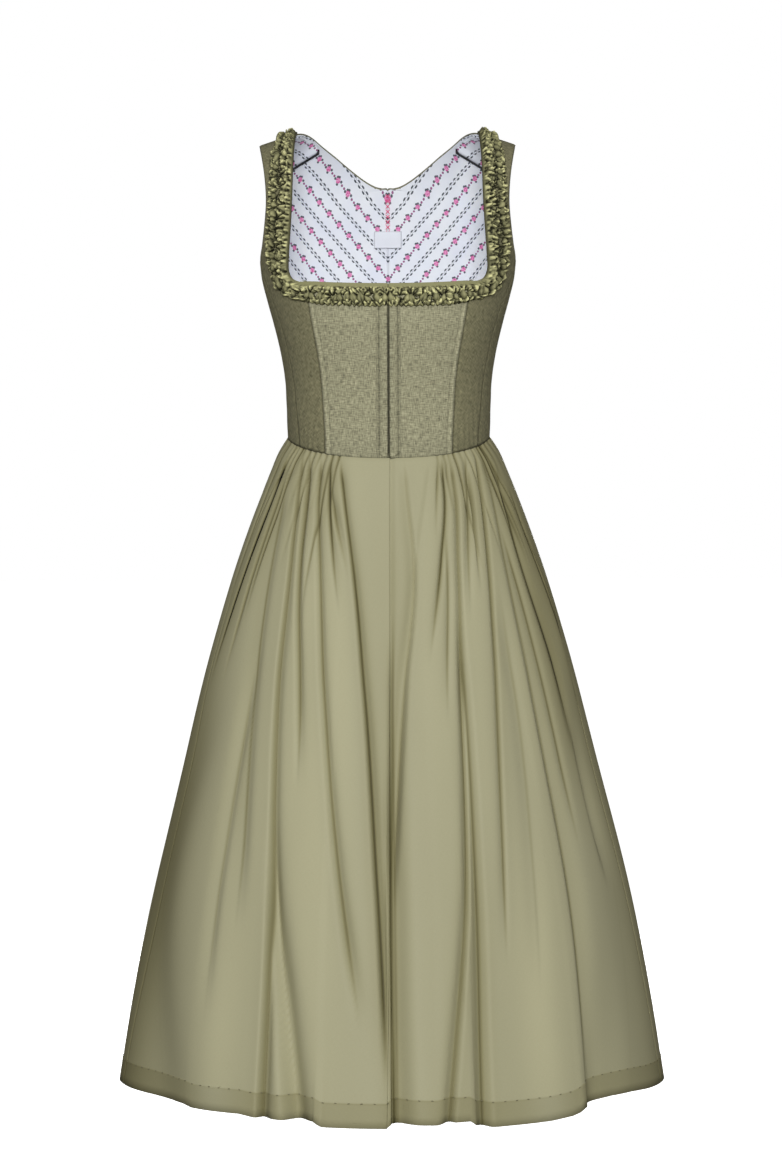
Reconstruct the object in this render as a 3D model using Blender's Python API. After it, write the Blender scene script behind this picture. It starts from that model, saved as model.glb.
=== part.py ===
"""A dirndl dress, hollow as if worn: fitted bodice, wide straps, ruched neck trim and gathered skirt.

Metres, +Z up. The front faces -Y, and +X is the viewer's right. The origin lies midway between the
tops of the straps, where the wearer's shoulders hold the dress up.

Every cloth piece is a wall between two grids of points. The points are read from two surfaces:
bodice(angle, climb), a torso of rounded sections that rolls over the shoulders, and
skirt_base(angle, drop), a widening ring, which skirt_surface presses folds into.
"""

import math
from collections import namedtuple

import bmesh
import bpy
import numpy as np

# ---- Cloth and seams ----
BODICE_WALL = 0.0016
SKIRT_WALL = 0.0012
LINING_WALL = 0.0012
LABEL_WALL = 0.0010
PLACKET_WALL = 0.0012
SEAM_GAP = 0.0003
SKIRT_SEAM_GAP = 0.0005

# ---- Heights: the waist dips at centre front, and the hem is almost level ----
WAIST_HEIGHT = -0.384
WAIST_DIP = 0.0275
WAIST_DIP_POWER = 1.2
HEM_HEIGHT = -1.190
HEM_DIP = 0.005
NECK_FRONT_HEIGHT = -0.1998
NECK_FRONT_RISE = 0.0042
NECK_FRONT_RISE_AT = 0.100

# ---- Shoulders: the cloth starts to roll back at SHOULDER_START and tops out on a sloping ridge ----
SHOULDER_START = -0.085
SHOULDER_ROLL = 0.075
RIDGE = SHOULDER_START + SHOULDER_ROLL * math.pi / 2
RIDGE_INNER_X = 0.1124
RIDGE_INNER_HEIGHT = -0.005
RIDGE_SLOPE = 0.33

# ---- Small pieces ----
FRONT_GAP = 0.0006
TRIM_LIFT = 0.0012
TRIM_FROM_EDGE = 0.0048
TRIM_WIDTH = 0.0262
TRIM_HEIGHT = 0.0066
TRIM_EDGE_HEIGHT = 0.0042
TRIM_PAST_RIDGE = 0.008
TRIM_CORNER_AT = 0.122
TRIM_CORNER_SPAN = 0.026
TRIM_CORNER_PINCH = 0.30
PLACKET_WIDTH = 0.0104
PLACKET_FROM_CENTRE = 0.0006
PLACKET_ABOVE_WAIST = 0.003
LABEL_WIDTH = 0.0355
LABEL_LENGTH = 0.0215
LABEL_HEIGHT = -0.131
LABEL_LIFT = 0.0014
NECK_EDGE_SHOWN = 0.0012
TAB_LIFT = 0.0012
LINING_DEPTH = BODICE_WALL + 0.0010

SECTION_POWER = 2.3

# ---- Bodice sections: half width at the side, and depth in front of and behind the side line ----
Section = namedtuple("Section", "height half_width front_depth back_depth")
BODICE_SECTIONS = [
    Section(-0.425, 0.1270, 0.0935, 0.0805),
    Section(-0.384, 0.1262, 0.0950, 0.0810),
    Section(-0.350, 0.1272, 0.1000, 0.0830),
    Section(-0.312, 0.1290, 0.1080, 0.0870),
    Section(-0.275, 0.1350, 0.1180, 0.0920),
    Section(-0.240, 0.1435, 0.1250, 0.0960),
    Section(-0.212, 0.1511, 0.1245, 0.0990),
    Section(-0.188, 0.1570, 0.1210, 0.1010),
    Section(-0.163, 0.1600, 0.1165, 0.1015),
    Section(-0.120, 0.1690, 0.1080, 0.0980),
    Section(-0.060, 0.1780, 0.0970, 0.0880),
    Section(0.030, 0.1850, 0.0850, 0.0700),
]

# ---- Seams of the bodice: degrees round from centre front, or from centre back for the back ----
SeamPoint = namedtuple("SeamPoint", "climb degrees")
FRONT_PRINCESS = [
    SeamPoint(-0.420, 35.0),
    SeamPoint(-0.350, 36.3),
    SeamPoint(-0.300, 37.4),
    SeamPoint(-0.230, 38.3),
    SeamPoint(-0.190, 37.0),
]
SIDE_SEAM = [
    SeamPoint(-0.400, 59.0),
    SeamPoint(-0.340, 62.5),
    SeamPoint(-0.290, 65.5),
    SeamPoint(-0.240, 68.0),
    SeamPoint(-0.210, 71.5),
    SeamPoint(-0.187, 77.0),
    SeamPoint(-0.1635, 83.5),
]
BACK_PRINCESS = [
    SeamPoint(-0.400, 27.0),
    SeamPoint(-0.300, 30.0),
    SeamPoint(-0.220, 37.0),
    SeamPoint(-0.160, 48.0),
    SeamPoint(-0.125, 61.0),
]
UNDERARM = [
    SeamPoint(-0.1635, 83.5),
    SeamPoint(-0.1700, 88.0),
    SeamPoint(-0.1725, 95.0),
    SeamPoint(-0.1620, 105.0),
    SeamPoint(-0.1450, 113.0),
    SeamPoint(-0.1250, 119.0),
]

# ---- Rows across each strap, from the neck edge (a distance from the middle) to the armhole (degrees) ----
StrapRow = namedtuple("StrapRow", "neck_climb neck_x arm_climb arm_degrees")
FRONT_STRAP = [
    StrapRow(-0.1958, 0.0995, -0.2000, 73.6),
    StrapRow(-0.1952, 0.1085, -0.1870, 77.0),
    StrapRow(-0.1905, 0.1175, -0.1740, 80.6),
    StrapRow(-0.1815, 0.1222, -0.1635, 83.5),
    StrapRow(-0.1680, 0.1226, -0.1500, 73.8),
    StrapRow(-0.1400, 0.1206, -0.1310, 65.7),
    StrapRow(-0.1100, 0.1186, -0.1080, 60.2),
    StrapRow(-0.0840, 0.1173, -0.0840, 57.4),
    StrapRow(-0.0500, 0.1163, -0.0500, 57.0),
    StrapRow(-0.0080, 0.1145, -0.0080, 58.7),
    StrapRow(RIDGE, RIDGE_INNER_X, RIDGE, 59.8),
]
BACK_STRAP = [
    StrapRow(-0.1300, 0.0000, -0.1250, 61.0),
    StrapRow(-0.1000, 0.0000, -0.1050, 57.4),
    StrapRow(-0.0739, 0.0000, -0.0850, 55.4),
    StrapRow(-0.0710, 0.0160, -0.0680, 54.7),
    StrapRow(-0.0580, 0.0410, -0.0480, 54.4),
    StrapRow(-0.0375, 0.0660, -0.0260, 55.0),
    StrapRow(-0.0165, 0.0850, -0.0040, 56.3),
    StrapRow(0.0095, 0.1000, 0.0150, 58.0),
    StrapRow(RIDGE, RIDGE_INNER_X, RIDGE, 59.8),
]
STRAP_TAB = [
    StrapRow(-0.0195, 0.0875, -0.0550, 56.0),
    StrapRow(0.0060, 0.1012, -0.0120, 57.0),
    StrapRow(RIDGE, RIDGE_INNER_X, RIDGE, 59.0),
]

# ---- Skirt rings, by the part of the skirt's length that lies above them ----
Ring = namedtuple("Ring", "drop half_width front_depth back_depth power")
SKIRT_RINGS = [
    Ring(0.00, 0.1265, 0.0945, 0.0810, 2.30),
    Ring(0.02, 0.1368, 0.0995, 0.0915, 2.25),
    Ring(0.05, 0.1473, 0.1055, 0.1020, 2.20),
    Ring(0.10, 0.1633, 0.1155, 0.1170, 2.15),
    Ring(0.19, 0.1893, 0.1340, 0.1400, 2.10),
    Ring(0.33, 0.2233, 0.1630, 0.1710, 2.00),
    Ring(0.52, 0.2632, 0.2040, 0.2110, 1.95),
    Ring(0.70, 0.2993, 0.2450, 0.2500, 1.90),
    Ring(0.89, 0.3280, 0.2880, 0.2900, 1.85),
    Ring(1.00, 0.3410, 0.3130, 0.3100, 1.85),
]

# ---- Lines down the skirt, as degrees round from centre front at five levels of its length ----
LEVELS = [0.0, 0.12, 0.35, 0.65, 1.0]
SkirtLine = namedtuple("SkirtLine", "waist hip thigh knee hem")
OPENING_EDGE = SkirtLine(0.3, 0.2, 0.0, -0.4, -1.4)
SKIRT_SIDE_SEAM = SkirtLine(61.0, 72.0, 76.0, 78.0, 79.0)

# ---- Folds: a groove along each line, from start to end, with its depth and its width to either side ----
Fold = namedtuple("Fold", "waist hip thigh knee hem start end depth_above depth_below left right")
FOLDS_LEFT = [
    Fold(-64.5, -66.0, -74.0, -75.0, -75.0, 0.00, 0.46, 0.006, 0.010, 3.2, 3.2),
    Fold(-58.0, -51.0, -47.0, -45.2, -45.0, 0.02, 1.20, 0.004, 0.010, 3.0, 2.6),
    Fold(-52.0, -52.0, -52.0, -52.2, -48.6, 0.50, 1.20, 0.008, 0.020, 8.0, 1.8),
    Fold(-66.0, -66.0, -66.0, -66.0, -66.0, 0.30, 1.20, 0.004, 0.034, 11.0, 10.0),
    Fold(-33.0, -33.0, -33.0, -33.0, -33.0, 0.45, 1.20, 0.002, 0.026, 15.0, 11.0),
    Fold(-42.0, -36.0, -28.5, -26.5, -26.0, 0.00, 0.46, 0.005, 0.009, 2.6, 2.6),
    Fold(-38.0, -37.5, -35.7, -28.5, -16.6, 0.20, 1.20, 0.005, 0.022, 2.6, 2.4),
    Fold(-32.0, -32.0, -32.0, -31.0, -32.6, 0.54, 1.20, 0.006, 0.016, 2.4, 2.4),
    Fold(-39.5, -27.6, -20.7, -11.5, -5.0, 0.00, 0.86, 0.005, 0.010, 2.6, 2.6),
    Fold(-31.5, -22.5, -17.0, -16.0, -16.0, 0.00, 0.28, 0.004, 0.004, 2.4, 2.4),
    Fold(-24.5, -15.0, -8.3, -4.2, -1.4, 0.00, 0.97, 0.005, 0.013, 2.8, 2.2),
]
FOLDS_RIGHT = [
    Fold(19.0, 11.0, 4.6, 1.4, 1.0, 0.00, 0.72, 0.003, 0.006, 2.4, 2.4),
    Fold(26.0, 20.8, 13.6, 12.0, 12.0, 0.00, 0.38, 0.004, 0.004, 2.4, 2.4),
    Fold(27.0, 27.2, 21.6, 19.2, 9.4, 0.00, 1.20, 0.006, 0.018, 2.4, 4.6),
    Fold(24.0, 24.0, 23.4, 22.6, 20.4, 0.34, 1.20, 0.004, 0.016, 2.0, 2.6),
    Fold(54.0, 42.0, 34.6, 27.8, 24.6, 0.00, 0.90, 0.006, 0.010, 2.8, 2.8),
    Fold(52.0, 51.0, 47.8, 46.0, 44.2, 0.02, 1.20, 0.006, 0.030, 2.2, 6.0),
    Fold(49.0, 49.0, 52.4, 51.8, 51.8, 0.27, 0.66, 0.004, 0.005, 2.2, 2.2),
    Fold(60.0, 60.4, 61.9, 69.0, 72.0, 0.00, 0.60, 0.008, 0.012, 2.8, 3.4),
    Fold(3.2, 3.2, 3.2, 2.6, 1.4, 0.32, 1.20, 0.004, 0.030, 8.0, 3.4),
    Fold(62.0, 62.0, 62.0, 62.0, 62.0, 0.30, 1.20, 0.004, 0.040, 9.0, 11.0),
]
FOLDS_BACK = [
    Fold(100.0, 99.0, 98.0, 99.0, 101.0, 0.00, 0.80, 0.005, 0.010, 3.0, 3.0),
    Fold(112.0, 110.0, 109.0, 108.0, 110.0, 0.04, 1.20, 0.006, 0.018, 3.2, 2.6),
    Fold(121.0, 121.5, 120.0, 121.0, 123.0, 0.00, 0.62, 0.005, 0.008, 2.8, 2.8),
    Fold(131.0, 130.0, 131.0, 134.0, 136.0, 0.00, 1.20, 0.006, 0.022, 2.6, 3.4),
    Fold(142.0, 143.0, 145.0, 146.0, 149.0, 0.02, 0.74, 0.006, 0.010, 2.8, 2.8),
    Fold(151.0, 153.0, 155.0, 158.0, 160.0, 0.00, 1.20, 0.006, 0.020, 3.0, 2.4),
    Fold(163.0, 164.0, 167.0, 169.0, 172.0, 0.00, 0.90, 0.006, 0.012, 2.8, 2.8),
    Fold(176.0, 177.0, 179.0, 181.0, 183.0, 0.03, 1.20, 0.005, 0.021, 3.0, 3.0),
    Fold(188.0, 189.0, 189.0, 191.0, 193.0, 0.00, 0.68, 0.006, 0.009, 2.8, 2.8),
    Fold(198.0, 199.0, 201.0, 204.0, 206.0, 0.00, 1.20, 0.006, 0.022, 2.4, 3.2),
    Fold(211.0, 211.0, 212.0, 214.0, 216.0, 0.02, 0.82, 0.006, 0.011, 2.8, 2.8),
    Fold(221.0, 222.0, 224.0, 226.0, 228.0, 0.00, 1.20, 0.005, 0.020, 3.2, 2.6),
    Fold(233.0, 233.0, 235.0, 237.0, 238.0, 0.00, 0.58, 0.005, 0.008, 2.8, 2.8),
    Fold(244.0, 245.0, 248.0, 250.0, 250.0, 0.04, 1.20, 0.006, 0.017, 2.8, 3.0),
    Fold(258.0, 259.0, 261.0, 262.0, 262.0, 0.00, 0.76, 0.005, 0.010, 3.0, 3.0),
]
FOLD_RAMP_IN = 0.04
FOLD_RAMP_IN_LOW = 0.50
FOLD_RAMP_OUT = 0.16

# ---- Front lap of the skirt, and the mouth of the pocket in its right side seam ----
LAP_WIDTH = 0.012
LAP_CLEARANCE = 0.0024
LAP_BLEND = 0.008
POCKET_TOP = 0.12
POCKET_END = 0.43
POCKET_BULGE = 0.004
POCKET_BULGE_WIDTH = 0.030
FACING_IN_FRONT = 0.018
FACING_BEHIND = 0.006
FACING_DEPTH = 0.0032
FACING_OVERRUN = 0.012

# ---- Mesh rows and columns ----
BODICE_ROWS = [0.0, 0.16, 0.34, 0.53, 0.72, 0.87]
BODICE_COLUMNS = 4
ROWS_PER_STRAP_STEP = 2
UNDERARM_STRAP_STEP = 3
UNDERARM_ROWS = UNDERARM_STRAP_STEP * ROWS_PER_STRAP_STEP
PRINCESS_UPPER_ROWS = 7
SIDE_BACK_FAN = 4
SKIRT_ROWS = [0.0, 0.03, 0.09, 0.19, 0.32, 0.48, 0.65, 0.83, 1.0]
SKIRT_FRONT_COLUMNS = 33
SKIRT_BACK_COLUMNS = 37
FACING_ROWS = 6
FACING_COLUMNS = 5
SHARP_EDGE = math.radians(50)

# ---- Short steps in radians, for slopes of the surfaces; a surface is solved again SETTLING_TURNS times ----
NORMAL_STEP = 1e-4
ARC_STEP = 1e-3
SETTLING_TURNS = 4


def curve(places, values, at):
    """Reads values at places as one smooth curve: a cubic between each two neighbours."""
    places = np.asarray(places, float)
    values = np.asarray(values, float)
    slopes = np.gradient(values, places)
    at = np.clip(np.asarray(at, float), places[0], places[-1])
    cell = np.clip(np.searchsorted(places, at) - 1, 0, len(places) - 2)
    span = places[cell + 1] - places[cell]
    part = (at - places[cell]) / span
    rest = 1 - part
    ends = values[cell] * rest * rest * (1 + 2 * part) + values[cell + 1] * part * part * (1 + 2 * rest)
    return ends + span * part * rest * (slopes[cell] * rest - slopes[cell + 1] * part)


def column(table, name, at, key):
    """One column of a table, read smoothly at any value of its key column."""
    return curve([getattr(row, key) for row in table], [getattr(row, name) for row in table], at)


def ridge_height(x):
    return RIDGE_INNER_HEIGHT - RIDGE_SLOPE * (np.abs(x) - RIDGE_INNER_X)


def height_of(x, climb):
    """Height of the cloth: climb itself up to SHOULDER_START, then along the roll over the shoulder."""
    roll = np.clip((climb - SHOULDER_START) / SHOULDER_ROLL, 0, math.pi)
    over = SHOULDER_START + (ridge_height(x) - SHOULDER_START) * np.sin(roll)
    return np.where(roll > 0, over, climb)


def bodice_angle(x, climb):
    """Angle round from centre front at which the bodice lies x from the middle."""
    half = column(BODICE_SECTIONS, "half_width", height_of(x, climb), "height")
    share = np.clip(np.abs(x) / half, 0, 1)
    return np.sign(x) * np.arcsin(share ** (SECTION_POWER / 2))


def bodice(angle, climb):
    """Points on the outside of the bodice. The angle runs from 0 at centre front to pi at centre back."""
    angle, climb = np.broadcast_arrays(np.asarray(angle, float), np.asarray(climb, float))
    roll = np.clip((climb - SHOULDER_START) / SHOULDER_ROLL, 0, math.pi)
    across = np.sign(np.sin(angle)) * np.abs(np.sin(angle)) ** (2 / SECTION_POWER)
    along = np.abs(np.cos(angle)) ** (2 / SECTION_POWER) * np.cos(roll)
    behind = (np.cos(angle) < 0) != (roll > math.pi / 2)
    x = across * BODICE_SECTIONS[-1].half_width
    for _ in range(SETTLING_TURNS):
        height = height_of(x, climb)
        x = across * column(BODICE_SECTIONS, "half_width", height, "height")
    front = column(BODICE_SECTIONS, "front_depth", height, "height")
    back = column(BODICE_SECTIONS, "back_depth", height, "height")
    y = np.abs(along) * np.where(behind, back, -front)
    return np.stack([x, y, height], axis=-1)


def waist_height(angle):
    forward = np.maximum(np.cos(angle), 0)
    return WAIST_HEIGHT - WAIST_DIP * forward**WAIST_DIP_POWER


def hem_height(angle):
    return HEM_HEIGHT - HEM_DIP * np.cos(angle)


def normals(surface, a, b):
    """Unit normals of a surface, from two short steps on it. They point out of the dress."""
    along_a = surface(a + NORMAL_STEP, b) - surface(a - NORMAL_STEP, b)
    along_b = surface(a, b + NORMAL_STEP) - surface(a, b - NORMAL_STEP)
    normal = np.cross(along_a, along_b)
    return normal / np.linalg.norm(normal, axis=-1, keepdims=True)


def smooth_step(value):
    value = np.clip(value, 0, 1)
    return value * value * (3 - 2 * value)


def line_angle(line, drop):
    """Angle of a line down the skirt, in radians, at any part of the skirt's length."""
    return np.radians(curve(LEVELS, [line.waist, line.hip, line.thigh, line.knee, line.hem], drop))


def fold_depth(angle, drop, folds):
    """How far in the folds press the cloth."""
    depth = np.zeros(np.broadcast(angle, drop).shape)
    for fold in folds:
        away = (np.degrees(angle - line_angle(fold, drop)) + 180) % 360 - 180
        groove = np.exp(-((away / np.where(away < 0, fold.left, fold.right)) ** 2))
        ramp_in = FOLD_RAMP_IN + FOLD_RAMP_IN_LOW * fold.start
        ramp = smooth_step((drop - fold.start) / ramp_in) * smooth_step((fold.end - drop) / FOLD_RAMP_OUT)
        depth += groove * ramp * (fold.depth_above + (fold.depth_below - fold.depth_above) * drop)
    return depth


def skirt_base(angle, drop):
    """Points on the smooth skirt, before the folds are pressed in."""
    half = column(SKIRT_RINGS, "half_width", drop, "drop")
    front = column(SKIRT_RINGS, "front_depth", drop, "drop")
    back = column(SKIRT_RINGS, "back_depth", drop, "drop")
    power = column(SKIRT_RINGS, "power", drop, "drop")
    x = half * np.sign(np.sin(angle)) * np.abs(np.sin(angle)) ** (2 / power)
    y = np.abs(np.cos(angle)) ** (2 / power) * np.where(np.cos(angle) < 0, back, -front)
    height = waist_height(angle) + (hem_height(angle) - waist_height(angle)) * drop
    return np.stack([x, y, height], axis=-1)


def arc_per_radian(surface, angle, level):
    across = surface(angle + ARC_STEP, level) - surface(angle - ARC_STEP, level)
    return np.linalg.norm(across, axis=-1) / (2 * ARC_STEP)


def moved_along(surface, angle, level, distance):
    """The angle that lies a distance in metres further round the surface at the same level."""
    return angle + distance / arc_per_radian(surface, angle, level)


def skirt_surface(folds, tuck=None):
    """The skirt with its folds pressed in along the level normal; tuck adds an inward move of its own."""

    def surface(angle, drop):
        angle, drop = np.broadcast_arrays(np.asarray(angle, float), np.asarray(drop, float))
        out = np.stack([np.sin(angle), -np.cos(angle), np.zeros_like(angle)], axis=-1)
        depth = fold_depth(angle, drop, folds)
        if tuck is not None:
            depth = depth + tuck(angle, drop)
        return skirt_base(angle, drop) - out * depth[..., None]

    return surface


def wall(name, patches, material):
    """A closed wall from patches, each an outer and an inner grid of points with equal rows and columns."""
    index = {}
    outer_points = []
    inner_points = []
    triangles = []

    def corner(outer, inner):
        key = tuple(int(round(value * 1e6)) for value in outer)
        if key not in index:
            index[key] = len(outer_points)
            outer_points.append(outer)
            inner_points.append(inner)
        return index[key]

    for outer, inner in patches:
        rows, columns = outer.shape[:2]
        at = [[corner(outer[i, j], inner[i, j]) for j in range(columns)] for i in range(rows)]
        for i in range(rows - 1):
            for j in range(columns - 1):
                triangles.append((at[i][j], at[i][j + 1], at[i + 1][j + 1]))
                triangles.append((at[i][j], at[i + 1][j + 1], at[i + 1][j]))
    shape = bmesh.new()
    outside = [shape.verts.new(point) for point in outer_points]
    inside = [shape.verts.new(point) for point in inner_points]
    sides = {(a, b) for triangle in triangles for a, b in zip(triangle, triangle[1:] + triangle[:1])}
    for a, b, c in triangles:
        shape.faces.new((outside[a], outside[b], outside[c]))
        shape.faces.new((inside[c], inside[b], inside[a]))
    for a, b in sides:
        if (b, a) in sides:
            continue
        if outer_points[a][2] < outer_points[b][2]:
            shape.faces.new((outside[b], outside[a], inside[a]))
            shape.faces.new((outside[b], inside[a], inside[b]))
        else:
            shape.faces.new((outside[b], outside[a], inside[b]))
            shape.faces.new((outside[a], inside[a], inside[b]))
    bmesh.ops.recalc_face_normals(shape, faces=shape.faces)
    mesh = bpy.data.meshes.new(name)
    shape.to_mesh(mesh)
    shape.free()
    mesh.shade_smooth()
    mesh.set_sharp_from_angle(angle=SHARP_EDGE)
    mesh.materials.append(material)
    piece = bpy.data.objects.new(name, mesh)
    bpy.context.scene.collection.objects.link(piece)
    return piece


def layer(surface, angle, level, outer, inner):
    """The two faces of a wall that lies from outer to inner beyond a surface (negative is inside it)."""
    points = surface(angle, level)
    normal = normals(surface, angle, level)
    return points + normal * outer, points + normal * inner


# ---- Edges of the bodice pieces: matching lists of angle and climb, from the waist up ----
def seam_angle(seam, climb):
    return np.radians(column(seam, "degrees", climb, "climb"))


def rows_from_waist(seam, top, behind=False):
    """The lower rows up a seam, from the waist to just under its top."""
    climb = np.full(len(BODICE_ROWS), top)
    for _ in range(SETTLING_TURNS):
        angle = seam_angle(seam, climb)
        if behind:
            angle = math.pi - angle
        low = waist_height(angle[0]) + SEAM_GAP / 2
        climb = low + (top - low) * np.array(BODICE_ROWS)
    return angle, climb


def strap_edges(table, behind=False):
    """Neck edge and arm edge of a strap, read smoothly down its table at equal steps."""
    last = len(table) - 1
    steps = np.linspace(0, last, last * ROWS_PER_STRAP_STEP + 1)
    columns = zip(*table)
    neck_climb, neck_x, arm_climb, arm_degrees = (curve(range(last + 1), values, steps) for values in columns)
    neck = bodice_angle(neck_x, neck_climb)
    arm = np.radians(arm_degrees)
    if behind:
        neck = math.pi - neck
        arm = math.pi - arm
    return (neck, neck_climb), (arm, arm_climb)


def joined(*edges):
    return tuple(np.concatenate(parts) for parts in zip(*edges))


def shifted(edge, distance, rows=slice(None)):
    """An edge moved round the bodice by a distance in metres, in the given rows."""
    angle = edge[0].copy()
    angle[rows] = moved_along(bodice, edge[0][rows], edge[1][rows], distance)
    return angle, edge[1]


def panel_grid(first, last):
    """A panel between two edges. Its lowest row follows the dip of the waist, and the dip fades upward."""
    share = np.linspace(0, 1, BODICE_COLUMNS)
    angle = first[0][:, None] + (last[0] - first[0])[:, None] * share
    climb = first[1][:, None] + (last[1] - first[1])[:, None] * share
    dip = waist_height(angle[0]) + SEAM_GAP / 2 - climb[0]
    fade = np.clip(1 - (climb[:, :1] - climb[:1, :1]) / (NECK_FRONT_HEIGHT - WAIST_HEIGHT), 0, 1)
    return angle, climb + dip * fade


def front_edges():
    """Centre-front edge and princess edge of a front panel, up to the neckline."""
    lower = rows_from_waist(FRONT_PRINCESS, FRONT_STRAP[0].neck_climb)
    princess = joined(lower, strap_top_point(FRONT_STRAP[0]))
    low = waist_height(0.0) + SEAM_GAP / 2
    climb = low + (NECK_FRONT_HEIGHT - low) * np.array(BODICE_ROWS + [1.0])
    return (bodice_angle(FRONT_GAP / 2, climb), climb), princess


def strap_top_point(row):
    return np.array([bodice_angle(row.neck_x, row.neck_climb)]), np.array([row.neck_climb])


def side_front_edges():
    """Princess and neck edge, and side seam and arm edge, of a side front with its strap."""
    neck, arm = strap_edges(FRONT_STRAP)
    princess = rows_from_waist(FRONT_PRINCESS, FRONT_STRAP[0].neck_climb)
    side = rows_from_waist(SIDE_SEAM, FRONT_STRAP[0].arm_climb)
    return joined(princess, neck), joined(side, arm)


def side_seam_rows():
    """The rows of the side seam, from the waist to the underarm."""
    _, (angle, climb) = strap_edges(FRONT_STRAP)
    upper = slice(0, UNDERARM_ROWS + 1)
    side = rows_from_waist(SIDE_SEAM, FRONT_STRAP[0].arm_climb)
    return joined(side, (angle[upper], climb[upper]))


def princess_behind():
    """The rows of the back princess seam, from the waist to the armhole."""
    low = rows_from_waist(BACK_PRINCESS, FRONT_STRAP[0].arm_climb, behind=True)
    climb = np.linspace(FRONT_STRAP[0].arm_climb, BACK_PRINCESS[-1].climb, PRINCESS_UPPER_ROWS)
    return joined(low, (math.pi - seam_angle(BACK_PRINCESS, climb), climb))


def back_edges():
    """Centre-back and neck edge, and princess and arm edge, of a back panel."""
    neck, arm = strap_edges(BACK_STRAP, behind=True)
    low = waist_height(math.pi) + SEAM_GAP / 2
    lower = low + (FRONT_STRAP[0].arm_climb - low) * np.array(BODICE_ROWS)
    upper = np.linspace(FRONT_STRAP[0].arm_climb, BACK_STRAP[0].neck_climb, PRINCESS_UPPER_ROWS)
    climb = np.concatenate([lower, upper])
    centre = (math.pi - bodice_angle(SEAM_GAP / 2, climb), climb)
    neck = (np.minimum(neck[0], math.pi - bodice_angle(SEAM_GAP / 2, neck[1])), neck[1])
    return (
        joined(centre, (neck[0][1:], neck[1][1:])),
        joined(princess_behind(), (arm[0][1:], arm[1][1:])),
    )


def side_back_grid(princess, side):
    """A side back: its rows fan from the princess seam to the side seam, and the top one is the underarm."""
    angle, climb = panel_grid(princess, side)
    rise = np.linspace(0, 1, len(climb))[:, None] ** SIDE_BACK_FAN
    return angle, climb + (underarm_climb(angle[-1]) - climb[-1]) * rise


def underarm_climb(angle):
    return column(UNDERARM, "climb", np.degrees(angle), "degrees")


def below_ridge(edge):
    """An edge whose last row stops just short of the shoulder seam."""
    climb = edge[1].copy()
    climb[-1] -= SEAM_GAP / 2
    return edge[0], climb


def mirrored(grid, side):
    return side * grid[0], grid[1]


# ---- Materials: colour (linear), roughness ----
Finish = namedtuple("Finish", "red green blue roughness")
FINISHES = {
    "bodice_front": Finish(0.300, 0.287, 0.185, 0.85),
    "bodice_side_front": Finish(0.235, 0.224, 0.135, 0.85),
    "bodice_side_back": Finish(0.235, 0.224, 0.135, 0.85),
    "bodice_back": Finish(0.300, 0.287, 0.185, 0.85),
    "back_lining": Finish(0.680, 0.720, 0.830, 0.90),
    "strap_lining": Finish(0.680, 0.720, 0.830, 0.90),
    "neck_trim": Finish(0.205, 0.200, 0.105, 0.80),
    "placket": Finish(0.300, 0.287, 0.185, 0.85),
    "neck_label": Finish(0.850, 0.850, 0.860, 0.80),
    "skirt_front": Finish(0.390, 0.370, 0.240, 0.55),
    "skirt_back": Finish(0.390, 0.370, 0.240, 0.55),
    "pocket_facing": Finish(0.390, 0.370, 0.240, 0.55),
}


def cloth(name):
    """A new material of the named finish, so that each piece has its own."""
    finish = FINISHES[name]
    material = bpy.data.materials.new(name)
    material.use_nodes = True
    shader = material.node_tree.nodes["Principled BSDF"]
    shader.inputs["Base Color"].default_value = (finish.red, finish.green, finish.blue, 1)
    shader.inputs["Roughness"].default_value = finish.roughness
    shader.inputs["Metallic"].default_value = 0
    return material


# ---- The pieces ----
def side_name(stem, side):
    return stem + ("_right" if side > 0 else "_left")


def bodice_wall(stem, side, grids, outer=0.0, inner=-BODICE_WALL):
    patches = [layer(bodice, *mirrored(grid, side), outer, inner) for grid in grids]
    return wall(side_name(stem, side), patches, cloth(stem))


def make_bodice(side):
    """Front, side front, side back and back of one side of the bodice."""
    centre, princess = front_edges()
    bodice_wall("bodice_front", side, [panel_grid(centre, shifted(princess, -SEAM_GAP / 2))])

    neck, arm = side_front_edges()
    on_princess = slice(0, len(BODICE_ROWS) + 1)
    on_side_seam = slice(0, len(BODICE_ROWS) + 1 + UNDERARM_ROWS)
    neck = below_ridge(shifted(neck, SEAM_GAP / 2, on_princess))
    arm = below_ridge(shifted(arm, -SEAM_GAP / 2, on_side_seam))
    bodice_wall("bodice_side_front", side, [panel_grid(neck, arm)])

    princess = shifted(princess_behind(), -SEAM_GAP / 2)
    seam = shifted(side_seam_rows(), SEAM_GAP / 2)
    bodice_wall("bodice_side_back", side, [side_back_grid(princess, seam)])

    neck, arm = back_edges()
    arm = shifted(arm, SEAM_GAP / 2, slice(0, len(princess[0])))
    bodice_wall("bodice_back", side, [panel_grid(below_ridge(neck), below_ridge(arm))])


def make_back_lining(side):
    """One half of the back lining: a back panel and a side back in one wall, just inside the bodice."""
    neck, arm = back_edges()
    climb = neck[1].copy()
    climb[len(BODICE_ROWS) + PRINCESS_UPPER_ROWS :] -= NECK_EDGE_SHOWN
    back = panel_grid((neck[0], climb), below_ridge(arm))
    under = side_back_grid(princess_behind(), side_seam_rows())
    inner = -LINING_DEPTH - LINING_WALL
    bodice_wall("back_lining", side, [back, under], -LINING_DEPTH, inner)


def make_strap_tab(side):
    """The lining of a strap where it laps onto the back, just inside the back lining."""
    neck, arm = strap_edges(STRAP_TAB, behind=True)
    outer = -LINING_DEPTH - LINING_WALL - TAB_LIFT
    grid = straight_grid(below_ridge(neck), below_ridge(arm))
    bodice_wall("strap_lining", side, [grid], outer, outer - LINING_WALL)


def straight_grid(first, last):
    share = np.linspace(0, 1, BODICE_COLUMNS)
    return tuple(a[:, None] + (b - a)[:, None] * share for a, b in zip(first, last))


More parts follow.
